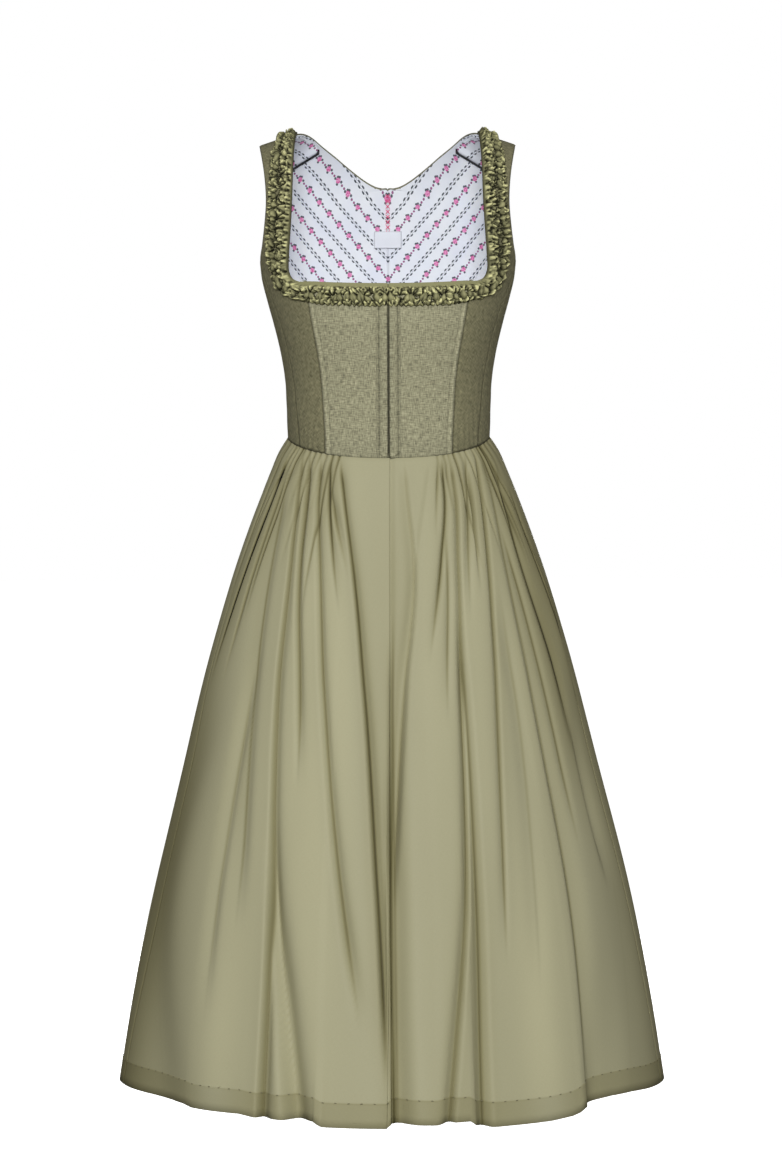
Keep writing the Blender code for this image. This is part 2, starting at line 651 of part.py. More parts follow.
def neck_path():
    """The neck edge from centre front to just past the ridge, as distances from the middle and climbs."""
    centre, princess = front_edges()
    angle, climb = straight_grid((centre[0][-1:], centre[1][-1:]), (princess[0][-1:], princess[1][-1:]))
    climb = NECK_FRONT_HEIGHT + NECK_FRONT_RISE * (bodice(angle, climb)[..., 0] / NECK_FRONT_RISE_AT) ** 2
    x = bodice(angle, climb)[0, :, 0]
    (neck, neck_climb), _ = strap_edges(FRONT_STRAP)
    strap_x = bodice(neck, neck_climb)[1:, 0]
    past = TRIM_PAST_RIDGE * np.array([0.5, 1.0])
    x = np.concatenate([x, strap_x, np.full(2, strap_x[-1])])
    climb = np.concatenate([climb[0], neck_climb[1:], RIDGE + past])
    x[0] = PLACKET_FROM_CENTRE
    return x, climb


def make_neck_trim(side):
    """The reach of the ruched trim: a crowned band that follows the neck edge and climbs the strap."""
    x, climb = neck_path()
    length = np.concatenate([[0], np.cumsum(np.hypot(np.diff(x), np.diff(climb)))])
    along_x = np.gradient(x, length)
    along_climb = np.gradient(climb, length)
    along_x[0] = 1.0
    along_climb[0] = 0.0
    size = np.hypot(along_x, along_climb)
    pinch = 1 - TRIM_CORNER_PINCH * np.exp(-(((length - TRIM_CORNER_AT) / TRIM_CORNER_SPAN) ** 2))
    across = TRIM_FROM_EDGE + TRIM_WIDTH * np.array([0.0, 0.5, 1.0]) * pinch[:, None]
    band_x = x[:, None] + (along_climb / size)[:, None] * across
    band_climb = climb[:, None] - (along_x / size)[:, None] * across
    grid = mirrored((bodice_angle(band_x, band_climb), band_climb), side)
    points = bodice(*grid)
    normal = normals(bodice, *grid)
    crown = np.array([TRIM_EDGE_HEIGHT, TRIM_HEIGHT, TRIM_EDGE_HEIGHT])
    patch = (points + normal * crown[:, None], points + normal * TRIM_LIFT)
    return wall(side_name("neck_trim", side), [patch], cloth("neck_trim"))


def make_placket(side):
    """A narrow strip beside the centre-front closure, from the waist to the trim."""
    centre, _ = front_edges()
    top = NECK_FRONT_HEIGHT - TRIM_FROM_EDGE - TRIM_WIDTH - SEAM_GAP
    climb = np.concatenate([centre[1][centre[1] < top - SEAM_GAP], [top]])
    climb[0] += PLACKET_ABOVE_WAIST
    across = np.array([PLACKET_FROM_CENTRE, PLACKET_FROM_CENTRE + PLACKET_WIDTH])
    angle = bodice_angle(np.broadcast_to(across, (len(climb), 2)), climb[:, None])
    grid = (angle, np.broadcast_to(climb[:, None], angle.shape))
    bodice_wall("placket", side, [grid], SEAM_GAP + PLACKET_WALL, SEAM_GAP)


def make_label():
    """A small bare label at centre back, just inside the lining."""
    x = np.array([0.5, -0.5]) * LABEL_WIDTH
    climb = LABEL_HEIGHT + np.array([-0.5, 0.5]) * LABEL_LENGTH
    angle = math.pi - bodice_angle(*np.meshgrid(x, climb))
    outer = -LINING_DEPTH - LINING_WALL - LABEL_LIFT
    patch = layer(bodice, angle, np.broadcast_to(climb[:, None], angle.shape), outer, outer - LABEL_WALL)
    return wall("neck_label", [patch], cloth("neck_label"))


def skirt_angle(x, drop):
    """Angle round from centre front at which the smooth skirt lies x from the middle."""
    half = column(SKIRT_RINGS, "half_width", drop, "drop")
    power = column(SKIRT_RINGS, "power", drop, "drop")
    return np.sign(x) * np.arcsin(np.clip(np.abs(x) / half, 0, 1) ** (power / 2))


def lap_tuck(angle, drop):
    """Presses the right front's edge in, so that the left front lies over it."""
    past = (angle - line_angle(OPENING_EDGE, drop)) * arc_per_radian(skirt_base, angle, drop)
    return LAP_CLEARANCE * smooth_step(1 - past / LAP_BLEND)


def pocket_bulge(angle, drop):
    """Lets the right front's side edge stand out from the pocket facing."""
    before = (line_angle(SKIRT_SIDE_SEAM, drop) - angle) * arc_per_radian(skirt_base, angle, drop)
    part = np.clip((drop - POCKET_TOP) / (POCKET_END - POCKET_TOP), 0, 1)
    return -POCKET_BULGE * np.sin(math.pi * part) ** 2 * smooth_step(1 - before / POCKET_BULGE_WIDTH)


def skirt_wall(name, surface, first, last, columns, material, rows=SKIRT_ROWS, depth=0.0):
    """A skirt panel between two edges, each a function of the part of the skirt's length above it."""
    drop = np.array(rows)
    share = np.linspace(0, 1, columns)
    angle = first(drop)[:, None] + (last(drop) - first(drop))[:, None] * share
    level = np.broadcast_to(drop[:, None], angle.shape)
    points = surface(angle, level)
    normal = -normals(surface, angle, level)
    points[..., 2] -= SEAM_GAP * (level == 0)
    patch = (points - normal * depth, points - normal * (depth + SKIRT_WALL))
    return wall(name, [patch], material)


def make_skirt():
    left = skirt_surface(FOLDS_LEFT + FOLDS_BACK)
    right = skirt_surface(FOLDS_RIGHT + FOLDS_BACK, lambda a, d: lap_tuck(a, d) + pocket_bulge(a, d))
    back = skirt_surface(FOLDS_LEFT + FOLDS_RIGHT + FOLDS_BACK)
    side_seam = SKIRT_SEAM_GAP / 2

    def opening(drop):
        return line_angle(OPENING_EDGE, drop)

    def lap_edge(drop):
        edge_x = skirt_base(opening(drop), drop)[..., 0]
        return skirt_angle(edge_x - LAP_WIDTH, drop)

    def seam(drop, shift=0.0):
        angle = line_angle(SKIRT_SIDE_SEAM, drop)
        return moved_along(skirt_base, angle, drop, shift)

    def centre_back(drop, shift):
        return moved_along(skirt_base, np.full_like(drop, math.pi), drop, shift)

    skirt_wall(
        "skirt_front_left",
        left,
        lambda d: -seam(d, -side_seam),
        opening,
        SKIRT_FRONT_COLUMNS,
        cloth("skirt_front"),
    )
    skirt_wall(
        "skirt_front_right",
        right,
        lap_edge,
        lambda d: seam(d, -side_seam),
        SKIRT_FRONT_COLUMNS,
        cloth("skirt_front"),
    )
    skirt_wall(
        "skirt_back_right",
        back,
        lambda d: seam(d, side_seam),
        lambda d: centre_back(d, -side_seam),
        SKIRT_BACK_COLUMNS,
        cloth("skirt_back"),
    )
    skirt_wall(
        "skirt_back_left",
        back,
        lambda d: centre_back(d, side_seam),
        lambda d: 2 * math.pi - seam(d, side_seam),
        SKIRT_BACK_COLUMNS,
        cloth("skirt_back"),
    )
    pocket_rows = np.linspace(POCKET_TOP, POCKET_END, FACING_ROWS)
    skirt_wall(
        "pocket_facing_right",
        back,
        lambda d: seam(d, -FACING_IN_FRONT),
        lambda d: seam(d, FACING_BEHIND),
        FACING_COLUMNS,
        cloth("pocket_facing"),
        pocket_rows,
        FACING_DEPTH,
    )


def build_all():
    for old in list(bpy.data.objects):
        bpy.data.objects.remove(old)
    for side in (-1, 1):
        make_bodice(side)
        make_back_lining(side)
        make_strap_tab(side)
        make_neck_trim(side)
        make_placket(side)
    make_label()
    make_skirt()


build_all()
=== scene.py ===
# %% [markdown]
# # A dirndl dress
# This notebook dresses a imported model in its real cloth. The model holds every piece as a plain wall. Here
# each wall gives way to a finer sheet of cloth on the same form, with folds, gathers, seams, stitches and
# a finish. Left and right are as seen from the front. The front faces -Y, +X is the viewer's right, and +Z
# is up.

import math
from collections import namedtuple

import bmesh
import bpy
import numpy as np
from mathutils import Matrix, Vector


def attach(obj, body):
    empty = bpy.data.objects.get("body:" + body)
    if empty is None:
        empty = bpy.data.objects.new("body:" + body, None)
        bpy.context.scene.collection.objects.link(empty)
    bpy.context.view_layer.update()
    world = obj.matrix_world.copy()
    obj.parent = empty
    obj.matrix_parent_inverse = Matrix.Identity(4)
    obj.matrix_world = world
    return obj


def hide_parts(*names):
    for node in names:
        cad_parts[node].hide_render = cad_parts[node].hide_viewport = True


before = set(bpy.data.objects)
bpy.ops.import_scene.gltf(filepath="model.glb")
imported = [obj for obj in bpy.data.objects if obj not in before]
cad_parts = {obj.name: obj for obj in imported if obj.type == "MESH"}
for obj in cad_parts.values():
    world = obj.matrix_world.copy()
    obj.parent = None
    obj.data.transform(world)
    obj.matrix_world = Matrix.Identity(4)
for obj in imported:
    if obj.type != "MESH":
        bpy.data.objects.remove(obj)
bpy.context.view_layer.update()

# %% [markdown]
# ## Camera
# A catalogue picture of clothing is taken from far off with a long lens, so that nothing looks swollen.
# The focal length is given in picture rows, so the lens follows from the height of the sensor. The camera
# stands a little under the middle of the dress and tips down by less than two degrees.

# %% Camera
PICTURE_WIDTH = 782
PICTURE_HEIGHT = 1175
FOCAL_ROWS = 3600
CAMERA_DISTANCE = 4.5
EYE_HEIGHT = -0.455
EYE_ROW = 494
MIDDLE_COLUMN = 389.5
CAMERA_ROLL = -0.0047
SENSOR = 36.0

camera_data = bpy.data.cameras.new("camera")
camera_data.sensor_fit = "VERTICAL"
camera_data.sensor_height = SENSOR
camera_data.lens = SENSOR * FOCAL_ROWS / PICTURE_HEIGHT
camera = bpy.data.objects.new("camera", camera_data)
bpy.context.scene.collection.objects.link(camera)
sideways = (PICTURE_WIDTH / 2 - MIDDLE_COLUMN) * CAMERA_DISTANCE / FOCAL_ROWS
camera.location = (sideways, -CAMERA_DISTANCE, EYE_HEIGHT)
tip = math.atan((PICTURE_HEIGHT / 2 - EYE_ROW) / FOCAL_ROWS)
camera.rotation_euler = (math.pi / 2 - tip, 0, 0)
camera.rotation_euler.rotate_axis("Z", CAMERA_ROLL)
bpy.context.scene.camera = camera
print("lens", round(camera_data.lens, 1), "mm, tipped", round(math.degrees(tip), 2), "degrees")

# %% [markdown]
# ## Floor and light
# A white floor that runs into a white sky leaves no line behind the dress, from whichever side it is seen.
# A wide soft box in front gives the cloth its roundness: panels that turn away from it grow darker. Weaker
# boxes stand above, behind and beside it, and the sky only lifts the shadows.

# %% Floor
FLOOR_HEIGHT = -1.52
FLOOR_HALF_WIDTH = 40.0
PAPER_GREY = 0.9
WHITE = (1, 1, 1, 1)

corners = [(-1, -1), (1, -1), (1, 1), (-1, 1)]
floor_points = [(x * FLOOR_HALF_WIDTH, y * FLOOR_HALF_WIDTH, FLOOR_HEIGHT) for x, y in corners]
floor_mesh = bpy.data.meshes.new("floor")
floor_mesh.from_pydata(floor_points, [], [(0, 1, 2, 3)])
floor = bpy.data.objects.new("floor", floor_mesh)
bpy.context.scene.collection.objects.link(floor)

paper = bpy.data.materials.new("white_paper")
paper.use_nodes = True
paper_shader = paper.node_tree.nodes["Principled BSDF"]
paper_shader.inputs["Base Color"].default_value = (PAPER_GREY, PAPER_GREY, PAPER_GREY, 1)
paper_shader.inputs["Roughness"].default_value = 0.9
paper_shader.inputs["Emission Color"].default_value = WHITE
paper_shader.inputs["Emission Strength"].default_value = 1.0
floor_mesh.materials.append(paper)
floor.visible_diffuse = False
floor.visible_glossy = False
print("floor at", FLOOR_HEIGHT, "m")


# %% Soft boxes
SoftBox = namedtuple("SoftBox", "name place target width height watts")
SOFT_BOXES = [
    SoftBox("front_box", (-0.05, -4.2, 0.3), (0, 0, -0.5), 1.7, 1.6, 136),
    SoftBox("high_box", (0.3, -2.2, 2.6), (0, 0, -0.4), 2.0, 1.2, 15),
    SoftBox("back_box", (0.2, 4.2, 0.4), (0, 0, -0.5), 1.7, 1.6, 85),
    SoftBox("side_box", (-4.2, 0.8, 0.3), (0, 0, -0.5), 1.7, 1.6, 17),
    SoftBox("side_box", (4.2, 0.8, 0.3), (0, 0, -0.5), 1.7, 1.6, 17),
]
for row in SOFT_BOXES:
    lamp = bpy.data.lights.new(row.name, "AREA")
    lamp.shape = "RECTANGLE"
    lamp.size = row.width
    lamp.size_y = row.height
    lamp.energy = row.watts
    box = bpy.data.objects.new(row.name, lamp)
    box.location = row.place
    box.rotation_euler = (Vector(row.target) - Vector(row.place)).to_track_quat("-Z", "Y").to_euler()
    bpy.context.scene.collection.objects.link(box)
print("soft boxes:", [box.name for box in bpy.data.objects if box.type == "LIGHT"])

# %% Sky
SKY_COLOUR = (1, 0.96, 0.82, 1)
SKY_STRENGTH = 0.09

world = bpy.data.worlds.new("studio")
world.use_nodes = True
sky = world.node_tree.nodes["Background"]
sky.inputs["Color"].default_value = SKY_COLOUR
sky.inputs["Strength"].default_value = SKY_STRENGTH
white = world.node_tree.nodes.new("ShaderNodeBackground")
white.inputs["Color"].default_value = WHITE
seen = world.node_tree.nodes.new("ShaderNodeLightPath")
either = world.node_tree.nodes.new("ShaderNodeMixShader")
world.node_tree.links.new(seen.outputs["Is Camera Ray"], either.inputs[0])
world.node_tree.links.new(sky.outputs[0], either.inputs[1])
world.node_tree.links.new(white.outputs[0], either.inputs[2])
world.node_tree.links.new(either.outputs[0], world.node_tree.nodes["World Output"].inputs["Surface"])
bpy.context.scene.world = world
bpy.context.scene.view_settings.view_transform = "Standard"
print("sky strength", SKY_STRENGTH)

# %% [markdown]
# ## The form of the bodice
# A tailor's dummy is a stack of rounded sections. Each section here is a superellipse, an ellipse pulled a
# little towards a rectangle, with its own depth in front and behind. Reading the table as smooth curves
# gives a section at any height. Above the armpits the cloth rolls over the shoulder, so a place on it is
# an angle round the body and a climb, which is the height up to the shoulder and then the distance along
# the roll.

# %% Smooth curves through tables
def curve(places, values, at):
    """Reads values at places as one smooth curve: a cubic between each two neighbours."""
    places = np.asarray(places, float)
    values = np.asarray(values, float)
    slopes = np.gradient(values, places)
    at = np.clip(np.asarray(at, float), places[0], places[-1])
    cell = np.clip(np.searchsorted(places, at) - 1, 0, len(places) - 2)
    span = places[cell + 1] - places[cell]
    part = (at - places[cell]) / span
    rest = 1 - part
    ends = values[cell] * rest * rest * (1 + 2 * part) + values[cell + 1] * part * part * (1 + 2 * rest)
    return ends + span * part * rest * (slopes[cell] * rest - slopes[cell + 1] * part)


def column(table, name, at, key):
    return curve([getattr(row, key) for row in table], [getattr(row, name) for row in table], at)


def smooth_step(value):
    value = np.clip(value, 0, 1)
    return value * value * (3 - 2 * value)


def bump(distance, width):
    """A soft hill of height 1 over distance 0."""
    return np.exp(-((distance / width) ** 2))


def signed_degrees(angle):
    """An angle round the body in degrees, from -180 to 180."""
    return (np.degrees(angle) + 180) % 360 - 180


def unit(vectors):
    return vectors / np.maximum(np.linalg.norm(vectors, axis=-1, keepdims=True), 1e-12)


def normals(surface, a, b, step=1e-4):
    """Unit normals of a surface, from two short steps on it. They point out of the dress."""
    along_a = surface(a + step, b) - surface(a - step, b)
    along_b = surface(a, b + step) - surface(a, b - step)
    return unit(np.cross(along_a, along_b))


print("a smooth step is half way up at", [share for share in (0.25, 0.5, 0.75) if smooth_step(share) == 0.5])


# %% Bodice sections
SEAM_GAP = 0.0003
WAIST_HEIGHT = -0.384
WAIST_DIP = 0.0275
WAIST_DIP_POWER = 1.2
NECK_FRONT_HEIGHT = -0.1998
NECK_FRONT_RISE = 0.0042
NECK_FRONT_RISE_AT = 0.100
SHOULDER_START = -0.085
SHOULDER_ROLL = 0.075
RIDGE = SHOULDER_START + SHOULDER_ROLL * math.pi / 2
RIDGE_INNER_X = 0.1124
RIDGE_INNER_HEIGHT = -0.005
RIDGE_SLOPE = 0.33
SECTION_POWER = 2.3
SETTLING_ROUNDS = 4

Section = namedtuple("Section", "height half_width front_depth back_depth")
BODICE_SECTIONS = [
    Section(-0.425, 0.1270, 0.0935, 0.0805),
    Section(-0.384, 0.1262, 0.0950, 0.0810),
    Section(-0.350, 0.1272, 0.1000, 0.0830),
    Section(-0.312, 0.1290, 0.1080, 0.0870),
    Section(-0.275, 0.1350, 0.1180, 0.0920),
    Section(-0.240, 0.1435, 0.1250, 0.0960),
    Section(-0.212, 0.1511, 0.1245, 0.0990),
    Section(-0.188, 0.1570, 0.1210, 0.1010),
    Section(-0.163, 0.1600, 0.1165, 0.1015),
    Section(-0.120, 0.1690, 0.1080, 0.0980),
    Section(-0.060, 0.1780, 0.0970, 0.0880),
    Section(0.030, 0.1850, 0.0850, 0.0700),
]


def height_of(x, climb):
    """Height of the cloth: the climb itself below the shoulder, then along the roll over it."""
    roll = np.clip((climb - SHOULDER_START) / SHOULDER_ROLL, 0, math.pi)
    ridge = RIDGE_INNER_HEIGHT - RIDGE_SLOPE * (np.abs(x) - RIDGE_INNER_X)
    return np.where(roll > 0, SHOULDER_START + (ridge - SHOULDER_START) * np.sin(roll), climb)


def bodice_angle(x, climb):
    """Angle round from centre front at which the bodice lies x from the middle."""
    half = column(BODICE_SECTIONS, "half_width", height_of(x, climb), "height")
    return np.sign(x) * np.arcsin(np.clip(np.abs(x) / half, 0, 1) ** (SECTION_POWER / 2))


def bodice(angle, climb):
    """Points on the outside of the bodice. The angle runs from 0 at centre front to pi at centre back."""
    angle, climb = np.broadcast_arrays(np.asarray(angle, float), np.asarray(climb, float))
    roll = np.clip((climb - SHOULDER_START) / SHOULDER_ROLL, 0, math.pi)
    across = np.sign(np.sin(angle)) * np.abs(np.sin(angle)) ** (2 / SECTION_POWER)
    along = np.abs(np.cos(angle)) ** (2 / SECTION_POWER) * np.cos(roll)
    behind = (np.cos(angle) < 0) != (roll > math.pi / 2)
    x = across * BODICE_SECTIONS[-1].half_width
    for _ in range(SETTLING_ROUNDS):
        height = height_of(x, climb)
        x = across * column(BODICE_SECTIONS, "half_width", height, "height")
    front = column(BODICE_SECTIONS, "front_depth", height, "height")
    back = column(BODICE_SECTIONS, "back_depth", height, "height")
    return np.stack([x, np.abs(along) * np.where(behind, back, -front), height], axis=-1)


def waist_height(angle):
    return WAIST_HEIGHT - WAIST_DIP * np.maximum(np.cos(angle), 0) ** WAIST_DIP_POWER


print("waist", round(2 * BODICE_SECTIONS[1].half_width, 3), "m wide, ridge at climb", round(RIDGE, 3))

# %% [markdown]
# ## Seams of the bodice
# A fitted bodice is cut in narrow panels, and the curve of the body is sewn into their edges. Princess
# seams run over the bust in front and the shoulder blades behind. Each seam is a short table of climbs and
# angles. The straps are tables too: a row across the strap goes from the neck edge to the armhole.

# %% Seam and strap tables
SeamPoint = namedtuple("SeamPoint", "climb degrees")
FRONT_PRINCESS = [
    SeamPoint(-0.420, 35.0),
    SeamPoint(-0.350, 36.3),
    SeamPoint(-0.300, 37.4),
    SeamPoint(-0.230, 38.3),
    SeamPoint(-0.190, 37.0),
]
SIDE_SEAM = [
    SeamPoint(-0.400, 59.0),
    SeamPoint(-0.340, 62.5),
    SeamPoint(-0.290, 65.5),
    SeamPoint(-0.240, 68.0),
    SeamPoint(-0.210, 71.5),
    SeamPoint(-0.187, 77.0),
    SeamPoint(-0.1635, 83.5),
]
BACK_PRINCESS = [
    SeamPoint(-0.400, 27.0),
    SeamPoint(-0.300, 30.0),
    SeamPoint(-0.220, 37.0),
    SeamPoint(-0.160, 48.0),
    SeamPoint(-0.125, 61.0),
]
UNDERARM = [
    SeamPoint(-0.1635, 83.5),
    SeamPoint(-0.1700, 88.0),
    SeamPoint(-0.1725, 95.0),
    SeamPoint(-0.1620, 105.0),
    SeamPoint(-0.1450, 113.0),
    SeamPoint(-0.1250, 119.0),
]
StrapRow = namedtuple("StrapRow", "neck_climb neck_x arm_climb arm_degrees")
FRONT_STRAP = [
    StrapRow(-0.1958, 0.0995, -0.2000, 73.6),
    StrapRow(-0.1952, 0.1085, -0.1870, 77.0),
    StrapRow(-0.1905, 0.1175, -0.1740, 80.6),
    StrapRow(-0.1815, 0.1222, -0.1635, 83.5),
    StrapRow(-0.1680, 0.1226, -0.1500, 73.8),
    StrapRow(-0.1400, 0.1206, -0.1310, 65.7),
    StrapRow(-0.1100, 0.1186, -0.1080, 60.2),
    StrapRow(-0.0840, 0.1173, -0.0840, 57.4),
    StrapRow(-0.0500, 0.1163, -0.0500, 57.0),
    StrapRow(-0.0080, 0.1145, -0.0080, 58.7),
    StrapRow(RIDGE, RIDGE_INNER_X, RIDGE, 59.8),
]
BACK_STRAP = [
    StrapRow(-0.1300, 0.0000, -0.1250, 61.0),
    StrapRow(-0.1000, 0.0000, -0.1050, 57.4),
    StrapRow(-0.0739, 0.0000, -0.0850, 55.4),
    StrapRow(-0.0710, 0.0160, -0.0680, 54.7),
    StrapRow(-0.0580, 0.0410, -0.0480, 54.4),
    StrapRow(-0.0375, 0.0660, -0.0260, 55.0),
    StrapRow(-0.0165, 0.0850, -0.0040, 56.3),
    StrapRow(0.0095, 0.1000, 0.0150, 58.0),
    StrapRow(RIDGE, RIDGE_INNER_X, RIDGE, 59.8),
]
STRAP_TAB = [
    StrapRow(-0.0195, 0.0875, -0.0550, 56.0),
    StrapRow(0.0060, 0.1012, -0.0120, 57.0),
    StrapRow(RIDGE, RIDGE_INNER_X, RIDGE, 59.0),
]
LOWER_ROWS = [0.0, 0.16, 0.34, 0.53, 0.72, 0.87]
ROWS_PER_STRAP_STEP = 2
BACK_NECK_ROW = 2
UNDERARM_ROWS = 3 * ROWS_PER_STRAP_STEP
PRINCESS_UPPER_ROWS = 7
SIDE_BACK_FAN = 4
print("front strap:", len(FRONT_STRAP), "rows, back strap:", len(BACK_STRAP), "rows")


# %% Edges of the panels, from the waist up
def joined(*edges):
    return tuple(np.concatenate(parts) for parts in zip(*edges))


def rows_from_waist(seam, top, behind=False):
    """The lower rows up a seam, from the waist to just under its top."""
    climb = np.full(len(LOWER_ROWS), top)
    for _ in range(SETTLING_ROUNDS):
        angle = np.radians(column(seam, "degrees", climb, "climb"))
        if behind:
            angle = math.pi - angle
        low = waist_height(angle[0])
        climb = low + (top - low) * np.array(LOWER_ROWS)
    return angle, climb


def strap_edges(table, behind=False):
    """Neck edge and arm edge of a strap, read smoothly down its table at equal steps."""
    last = len(table) - 1
    steps = np.linspace(0, last, last * ROWS_PER_STRAP_STEP + 1)
    neck_climb, neck_x, arm_climb, arm_degrees = (curve(range(last + 1), v, steps) for v in zip(*table))
    neck_x = np.maximum(neck_x, 0)
    if table is BACK_STRAP:
        behind_neck = table[BACK_NECK_ROW:]
        rounded = curve([row.neck_x for row in behind_neck], [row.neck_climb for row in behind_neck], neck_x)
        neck_climb = np.where(neck_x > 0, rounded, np.minimum(neck_climb, behind_neck[0].neck_climb))
    neck = bodice_angle(neck_x, neck_climb)
    arm = np.radians(arm_degrees)
    if behind:
        neck = math.pi - neck
        arm = math.pi - arm
    return (neck, neck_climb), (arm, arm_climb)


def front_edges():
    """Centre-front edge and princess edge of a front panel, up to the neckline."""
    corner = FRONT_STRAP[0]
    corner_angle = bodice_angle(corner.neck_x, corner.neck_climb)
    corner_point = np.array([corner_angle]), np.array([corner.neck_climb])
    princess = joined(rows_from_waist(FRONT_PRINCESS, corner.neck_climb), corner_point)
    low = waist_height(0.0)
    climb = low + (NECK_FRONT_HEIGHT - low) * np.array(LOWER_ROWS + [1.0])
    return (bodice_angle(SEAM_GAP, climb), climb), princess


def side_front_edges():
    neck, arm = strap_edges(FRONT_STRAP)
    princess = rows_from_waist(FRONT_PRINCESS, FRONT_STRAP[0].neck_climb)
    side = rows_from_waist(SIDE_SEAM, FRONT_STRAP[0].arm_climb)
    return joined(princess, neck), joined(side, arm)


def side_seam_edge():
    _, (angle, climb) = strap_edges(FRONT_STRAP)
    upper = slice(0, UNDERARM_ROWS + 1)
    return joined(rows_from_waist(SIDE_SEAM, FRONT_STRAP[0].arm_climb), (angle[upper], climb[upper]))


def back_princess_edge():
    low = rows_from_waist(BACK_PRINCESS, FRONT_STRAP[0].arm_climb, behind=True)
    climb = np.linspace(FRONT_STRAP[0].arm_climb, BACK_PRINCESS[-1].climb, PRINCESS_UPPER_ROWS)
    angle = math.pi - np.radians(column(BACK_PRINCESS, "degrees", climb, "climb"))
    return joined(low, (angle, climb))


def back_edges():
    """Centre-back and neck edge, and princess and arm edge, of a back panel."""
    neck, arm = strap_edges(BACK_STRAP, behind=True)
    low = waist_height(math.pi)
    lower = low + (FRONT_STRAP[0].arm_climb - low) * np.array(LOWER_ROWS)
    upper = np.linspace(FRONT_STRAP[0].arm_climb, BACK_STRAP[0].neck_climb, PRINCESS_UPPER_ROWS)
    climb = np.concatenate([lower, upper])
    centre = (np.full(len(climb), math.pi), climb)
    return joined(centre, (neck[0][1:], neck[1][1:])), joined(back_princess_edge(), (arm[0][1:], arm[1][1:]))


print("edge rows:", len(front_edges()[0][0]), len(side_front_edges()[0][0]), len(back_edges()[0][0]))

# %% [markdown]
# ## A sheet of cloth from a grid
# Every panel is a grid between two edges. The columns crowd towards the edges, where the cloth dips into
# its seams, and the rows are read smoothly between those of the tables. The grid keeps its own cut: a UV
# map in metres, along and across the grain, so that a weave or a print sits on the cloth and not in the
# air. Solidify then gives the sheet its thickness, always inwards, and can line it with a second material.

# %% Panel grids
def fine_edge(edge, rows):
    at = np.linspace(0, len(edge[0]) - 1, rows)
    return tuple(curve(range(len(values)), values, at) for values in edge)


def crowded(columns, crowding=0.7):
    """Shares from 0 to 1 that lie closer together near both ends."""
    even = np.linspace(0, 1, columns)
    return (1 - crowding) * even + crowding * (0.5 - 0.5 * np.cos(math.pi * even))


def panel_grid(first, last, rows, columns):
    """A panel between two edges. Its lowest row follows the dip of the waist, and the dip fades upward."""
    first = fine_edge(first, rows)
    last = fine_edge(last, rows)
    share = crowded(columns)
    angle = first[0][:, None] + (last[0] - first[0])[:, None] * share
    climb = first[1][:, None] + (last[1] - first[1])[:, None] * share
    dip = waist_height(angle[0]) - climb[0]
    fade = np.clip(1 - (climb[:, :1] - climb[:1, :1]) / (NECK_FRONT_HEIGHT - WAIST_HEIGHT), 0, 1)
    return angle, climb + dip * fade


def side_back_grid(princess, side, rows, columns):
    """A side back: its rows fan from the princess seam to the side seam, and the top one is the underarm."""
    angle, climb = panel_grid(princess, side, rows, columns)
    rise = np.linspace(0, 1, rows)[:, None] ** SIDE_BACK_FAN
    top = column(UNDERARM, "climb", np.degrees(angle[-1]), "degrees")
    return angle, climb + (top - climb[-1]) * rise


def distances(points, axis):
    """Length along the cloth from the first point of each row (axis 1) or column (axis 0)."""
    step = np.linalg.norm(np.diff(points, axis=axis), axis=-1)
    start = np.zeros_like(step[:1] if axis == 0 else step[:, :1])
    return np.concatenate([start, np.cumsum(step, axis=axis)], axis=axis)


print("seven crowded columns:", crowded(7).round(3))

# %% Mesh from grids
MERGE_DIGITS = 6


def mesh_of(name, patches, materials):
    """A smooth mesh from patches, each a grid of points, its UVs and, if it has one, its shade."""
    index = {}
    points = []
    shades = []
    faces = []
    face_uvs = []
    for grid, uv, *shade in patches:
        rows, columns = grid.shape[:2]
        shade = shade[0].reshape(-1) if shade else np.zeros(rows * columns)
        flat = grid.reshape(-1, 3)
        where = np.empty(len(flat), int)
        for k, point in enumerate(np.round(flat, MERGE_DIGITS)):
            key = tuple(point)
            if key not in index:
                index[key] = len(points)
                points.append(flat[k])
                shades.append(shade[k])
            where[k] = index[key]
        at = np.arange(rows * columns).reshape(rows, columns)
        quads = np.stack([at[:-1, :-1], at[:-1, 1:], at[1:, 1:], at[1:, :-1]], axis=-1).reshape(-1, 4)
        middle = flat[quads].mean(axis=1)
        across = np.cross(flat[quads[:, 1]] - flat[quads[:, 0]], flat[quads[:, 3]] - flat[quads[:, 0]])
        if (across[:, :2] * middle[:, :2]).sum() < 0:
            quads = quads[:, ::-1]
        faces.append(where[quads])
        face_uvs.append(uv.reshape(-1, 2)[quads])
    faces = np.concatenate(faces)
    mesh = bpy.data.meshes.new(name)
    mesh.from_pydata([tuple(p) for p in points], [], faces.tolist())
    layer = mesh.uv_layers.new(name="cut")
    layer.data.foreach_set("uv", np.concatenate(face_uvs).astype(np.float32).ravel())
    depth_of_shade = mesh.attributes.new("shade", "FLOAT", "POINT")
    depth_of_shade.data.foreach_set("value", np.array(shades, np.float32))
    for material in materials:
        mesh.materials.append(material)
    mesh.shade_smooth()
    return mesh


def placed(name, mesh):
    piece = bpy.data.objects.new(name, mesh)
    bpy.context.scene.collection.objects.link(piece)
    return piece


def cloth_piece(name, patches, materials, wall):
    """A piece of cloth of its real thickness, inwards from its patches. A second material lines it."""
    piece = placed(name, mesh_of(name, patches, materials))
    modifier = piece.modifiers.new("cloth", "SOLIDIFY")
    modifier.thickness = wall
    modifier.offset = -1
    modifier.use_quality_normals = True
    modifier.material_offset = len(materials) - 1
    return piece


